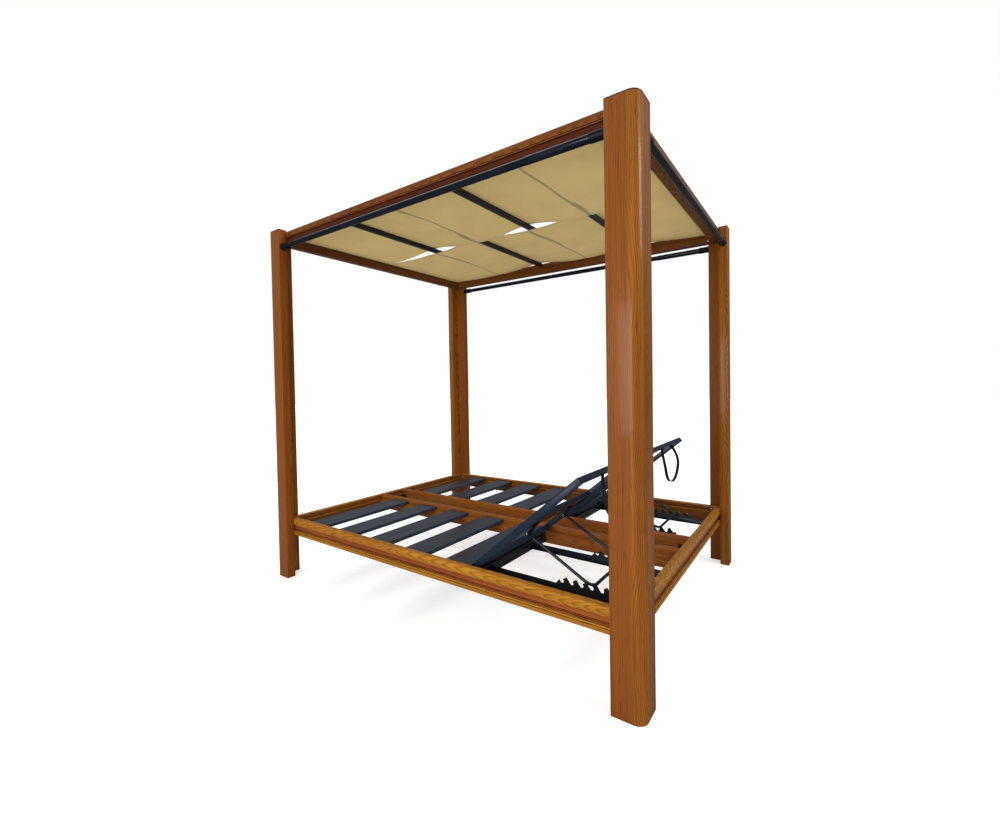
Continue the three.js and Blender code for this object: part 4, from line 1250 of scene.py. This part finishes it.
for side, toward_side in sides.items():
    node = f"canopy_cloth_{side}"
    low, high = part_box(node)
    inner = min(abs(low.x), abs(high.x))
    outer = max(abs(low.x), abs(high.x)) + cloth_overreach
    over_first = toward_side > 0
    ledge_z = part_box(f"canopy_beam_{side}")[1].z - rail_shapes["canopy_beam"]["ledge_drop"]
    hem_z = ledge_z + cloth_thickness
    clear = cloth_thickness / 2 + cloth_gap
    rows = round((high.y - low.y) / cloth_step)
    xs = [inner + cloth_curl_width * (i / cloth_curl_steps) ** cloth_curl_crowding
          for i in range(cloth_curl_steps + 1)]
    xs += [xs[-1] + (outer - xs[-1]) * i / cloth_wide_steps for i in range(1, cloth_wide_steps + 1)]
    grid = []
    made = bmesh.new()
    uv = made.loops.layers.uv.new("cut")
    for r in range(rows + 1):
        y = low.y + (high.y - low.y) * r / rows
        base = cloth_height(y, over_first, hem_z, clear)
        phase = min((y - bar_places[0]) / bar_pitch, last_bar)
        lift = max(math.cos(math.pi * phase), 0) if over_first else 0
        line_of_points = []
        for x in xs:
            curl = max(1 - (x - inner) / cloth_curl_width, 0) ** 2
            z = base + cloth_curl * curl * lift + ripple(x, y)
            line_of_points.append(made.verts.new((toward_side * x, y, z)))
        grid.append(line_of_points)
    for r in range(rows):
        for c in range(len(xs) - 1):
            face = made.faces.new((grid[r][c], grid[r][c + 1], grid[r + 1][c + 1], grid[r + 1][c]))
            for loop in face.loops:
                loop[uv].uv = (abs(loop.vert.co.x) - inner, loop.vert.co.y)
    bmesh.ops.recalc_face_normals(made, faces=made.faces)
    under_phase = bar_places[1] if over_first else bar_places[0]
    canvas = finished(f"canvas_{side}", cloth_group, {
        "Cloth": (0.730, 0.560, 0.225, 1), "Shade": (0.560, 0.425, 0.165, 1),
        "Line": (0.270, 0.215, 0.125, 1), "Bar Shadow": bar_shadow_strength, "Edge Shade": 0.0 if over_first else 1.0,
        "First Bar": under_phase, "Bar Pitch": 2 * bar_pitch, "Hem Length": hem_reach, "Hem Width": hem_width,
    }, bump=weave_relief, uv="cut", shine={"Specular IOR Level": 0.2})
    cloth = modelled(f"{node}_strip", made, [canvas])
    thickness = cloth.modifiers.new("thickness", "SOLIDIFY")
    thickness.thickness = cloth_thickness
    thickness.offset = 0
    keep_modifiers(cloth)
    shade(cloth, woven_smooth)
    belongs(cloth, "frame", "canopy_cloth", node)


# Curtain rods.
# Blue-black lacquered steel tubes in two sizes that slide in each other, held at each end by a
# socket on a round flange that is screwed to the post.

rod_radius = 0.0165
rod_thin = 0.015
rod_joint_from_end = 0.320
rod_flange = 0.021
rod_flange_thickness = 0.005
rod_socket = 0.019
rod_socket_length = 0.055
rod_rim = 0.0012
rod_lap = 0.01
rod_edge = 0.0005
rod_relief = 0.000002
rod_sides = 40
rod_lacquer = coat("rod_lacquer", (0.0035, 0.0055, 0.0100), (0.006, 0.009, 0.015), 0.30, 0.16,
                   shine={"Specular IOR Level": 0.18, "Coat Weight": 0.08, "Coat Roughness": 0.04},
                   bump=rod_relief)
socket_plastic = coat("socket_plastic", (0.0025, 0.0032, 0.0045), (0.005, 0.006, 0.008), 0.2, 0.40,
                      shine={"Specular IOR Level": 0.15})


def rod_profiles(length):
    """The profiles of the two tubes and of both sockets, from one end of the rod to the other."""
    start = rod_flange_thickness
    socket_end = start + rod_socket_length
    socket = [(0, 2 * pinhole), (0, rod_flange - rod_rim), (rod_rim, rod_flange),
              (start - rod_rim, rod_flange), (start, rod_flange - rod_rim), (start, rod_socket + rod_rim),
              (start + rod_rim, rod_socket), (socket_end - rod_rim, rod_socket),
              (socket_end, rod_socket - rod_rim), (socket_end, 2 * pinhole)]
    joint = length - rod_joint_from_end
    thin = [(start, rod_thin), (joint + rod_lap, rod_thin)]
    thick = [(joint, rod_thin), (joint, rod_radius - rod_edge), (joint + rod_edge, rod_radius),
             (length - start, rod_radius)]
    return [thin, thick], [socket, [(length - along, radius) for along, radius in socket]]


rod_ways = {"left": Vector((0, 1, 0)), "right": Vector((0, 1, 0)), "head": Vector((-1, 0, 0))}
for name, way in rod_ways.items():
    node = f"curtain_rod_{name}"
    low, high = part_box(node)
    centre = (low + high) / 2
    length = abs((high - low).dot(way))
    start = centre - way * length / 2
    tubes_of_rod, sockets = rod_profiles(length)
    parts = [turned_solid("tube", profile, start, way, [rod_lacquer], rod_sides) for profile in tubes_of_rod]
    parts += [turned_solid("socket", profile, start, way, [socket_plastic], rod_sides) for profile in sockets]
    rod = joined_piece(f"{node}_tubes", parts)
    shade(rod, bar_smooth)
    belongs(rod, "frame", "black_steel", node)


# Screws.
# Zinc-plated button-head screws with a sunk socket, two at each inner corner of the deck and of the
# canopy, one into each of the rails or beams that meet there.

screw_radius = 0.0062
screw_height = 0.0038
deck_screw_from_corner = 0.022
deck_screw_below_top = 0.0175
beam_screw_from_corner = 0.018
beam_screw_above_bottom = 0.015
screw_sides = 24
screw_dome_share = 0.93
screw_crown_share = 0.72
screw_socket_share = 0.62
screw_socket_depth_share = 0.45

screw_tree, given = geometry_tree("button_screws", {
    "Radius": "value", "Height": "value", "Material": "material",
})
tree = screw_tree
half_height = calculated(tree, "MULTIPLY", given["Height"], 0.5)
blank = add(tree, "GeometryNodeMeshCylinder", {"Vertices": screw_sides, "Radius": given["Radius"],
                                               "Depth": half_height})
shape, top = blank.outputs["Mesh"], blank.outputs["Top"]
quarter = calculated(tree, "MULTIPLY", given["Height"], 0.25)
for rise, share in ((quarter, screw_dome_share), (quarter, screw_crown_share), (0.0, screw_socket_share)):
    lifted_top = add(tree, "GeometryNodeExtrudeMesh", {"Mesh": shape, "Selection": top, "Offset Scale": rise,
                                                       "Individual": False})
    shape, top = lifted_top.outputs["Mesh"], lifted_top.outputs["Top"]
    scaled = add(tree, "GeometryNodeScaleElements", {"Geometry": shape, "Selection": top, "Scale": share})
    shape = scaled.outputs["Geometry"]
sunk = calculated(tree, "MULTIPLY", given["Height"], -screw_socket_depth_share)
socket_hole = add(tree, "GeometryNodeExtrudeMesh", {"Mesh": shape, "Selection": top, "Offset Scale": sunk,
                                                    "Individual": False})
facing = add(tree, "GeometryNodeInputNamedAttribute", {"Name": "facing"}, data_type="FLOAT_VECTOR")
turned = add(tree, "FunctionNodeAlignEulerToVector", {"Vector": facing.outputs["Attribute"]}, axis="Z")
copies = add(tree, "GeometryNodeInstanceOnPoints", {"Points": given["Geometry"],
                                                    "Instance": socket_hole.outputs["Mesh"],
                                                    "Rotation": turned.outputs["Rotation"]})
real = add(tree, "GeometryNodeRealizeInstances", {"Geometry": copies.outputs[0]})
dressed = add(tree, "GeometryNodeSetMaterial", {"Geometry": real.outputs[0], "Material": given["Material"]})
add(tree, "NodeGroupOutput", {"Geometry": dressed.outputs[0]})

spots = []
families = {"deck_rail": (rail_top, deck_screw_from_corner),
            "canopy_beam": (rail_reach, beam_screw_from_corner)}
for family, (depth, from_corner) in families.items():
    for rail in rails:
        low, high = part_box(f"{family}_{rail['name']}")
        outer = outer_face(rail, low, high)
        run = high.dot(rail["along"]) - depth - from_corner
        if family == "deck_rail":
            z = high.z - deck_screw_below_top
        else:
            z = low.z + beam_screw_above_bottom
        for sign in (1, -1):
            place = rail["out"] * (outer - depth) + rail["along"] * sign * run + Vector((0, 0, z))
            spots.append((place, -rail["out"]))
points = bpy.data.meshes.new("corner_screws")
points.from_pydata([place for place, _ in spots], [], [])
faces_out = points.attributes.new("facing", "FLOAT_VECTOR", "POINT")
for i, (_, way) in enumerate(spots):
    faces_out.data[i].vector = way
values = {"Radius": screw_radius, "Height": screw_height, "Material": bright_bolt}
screws = grown("corner_screws", screw_tree, values, points)
belongs(screws, "frame", "black_steel")
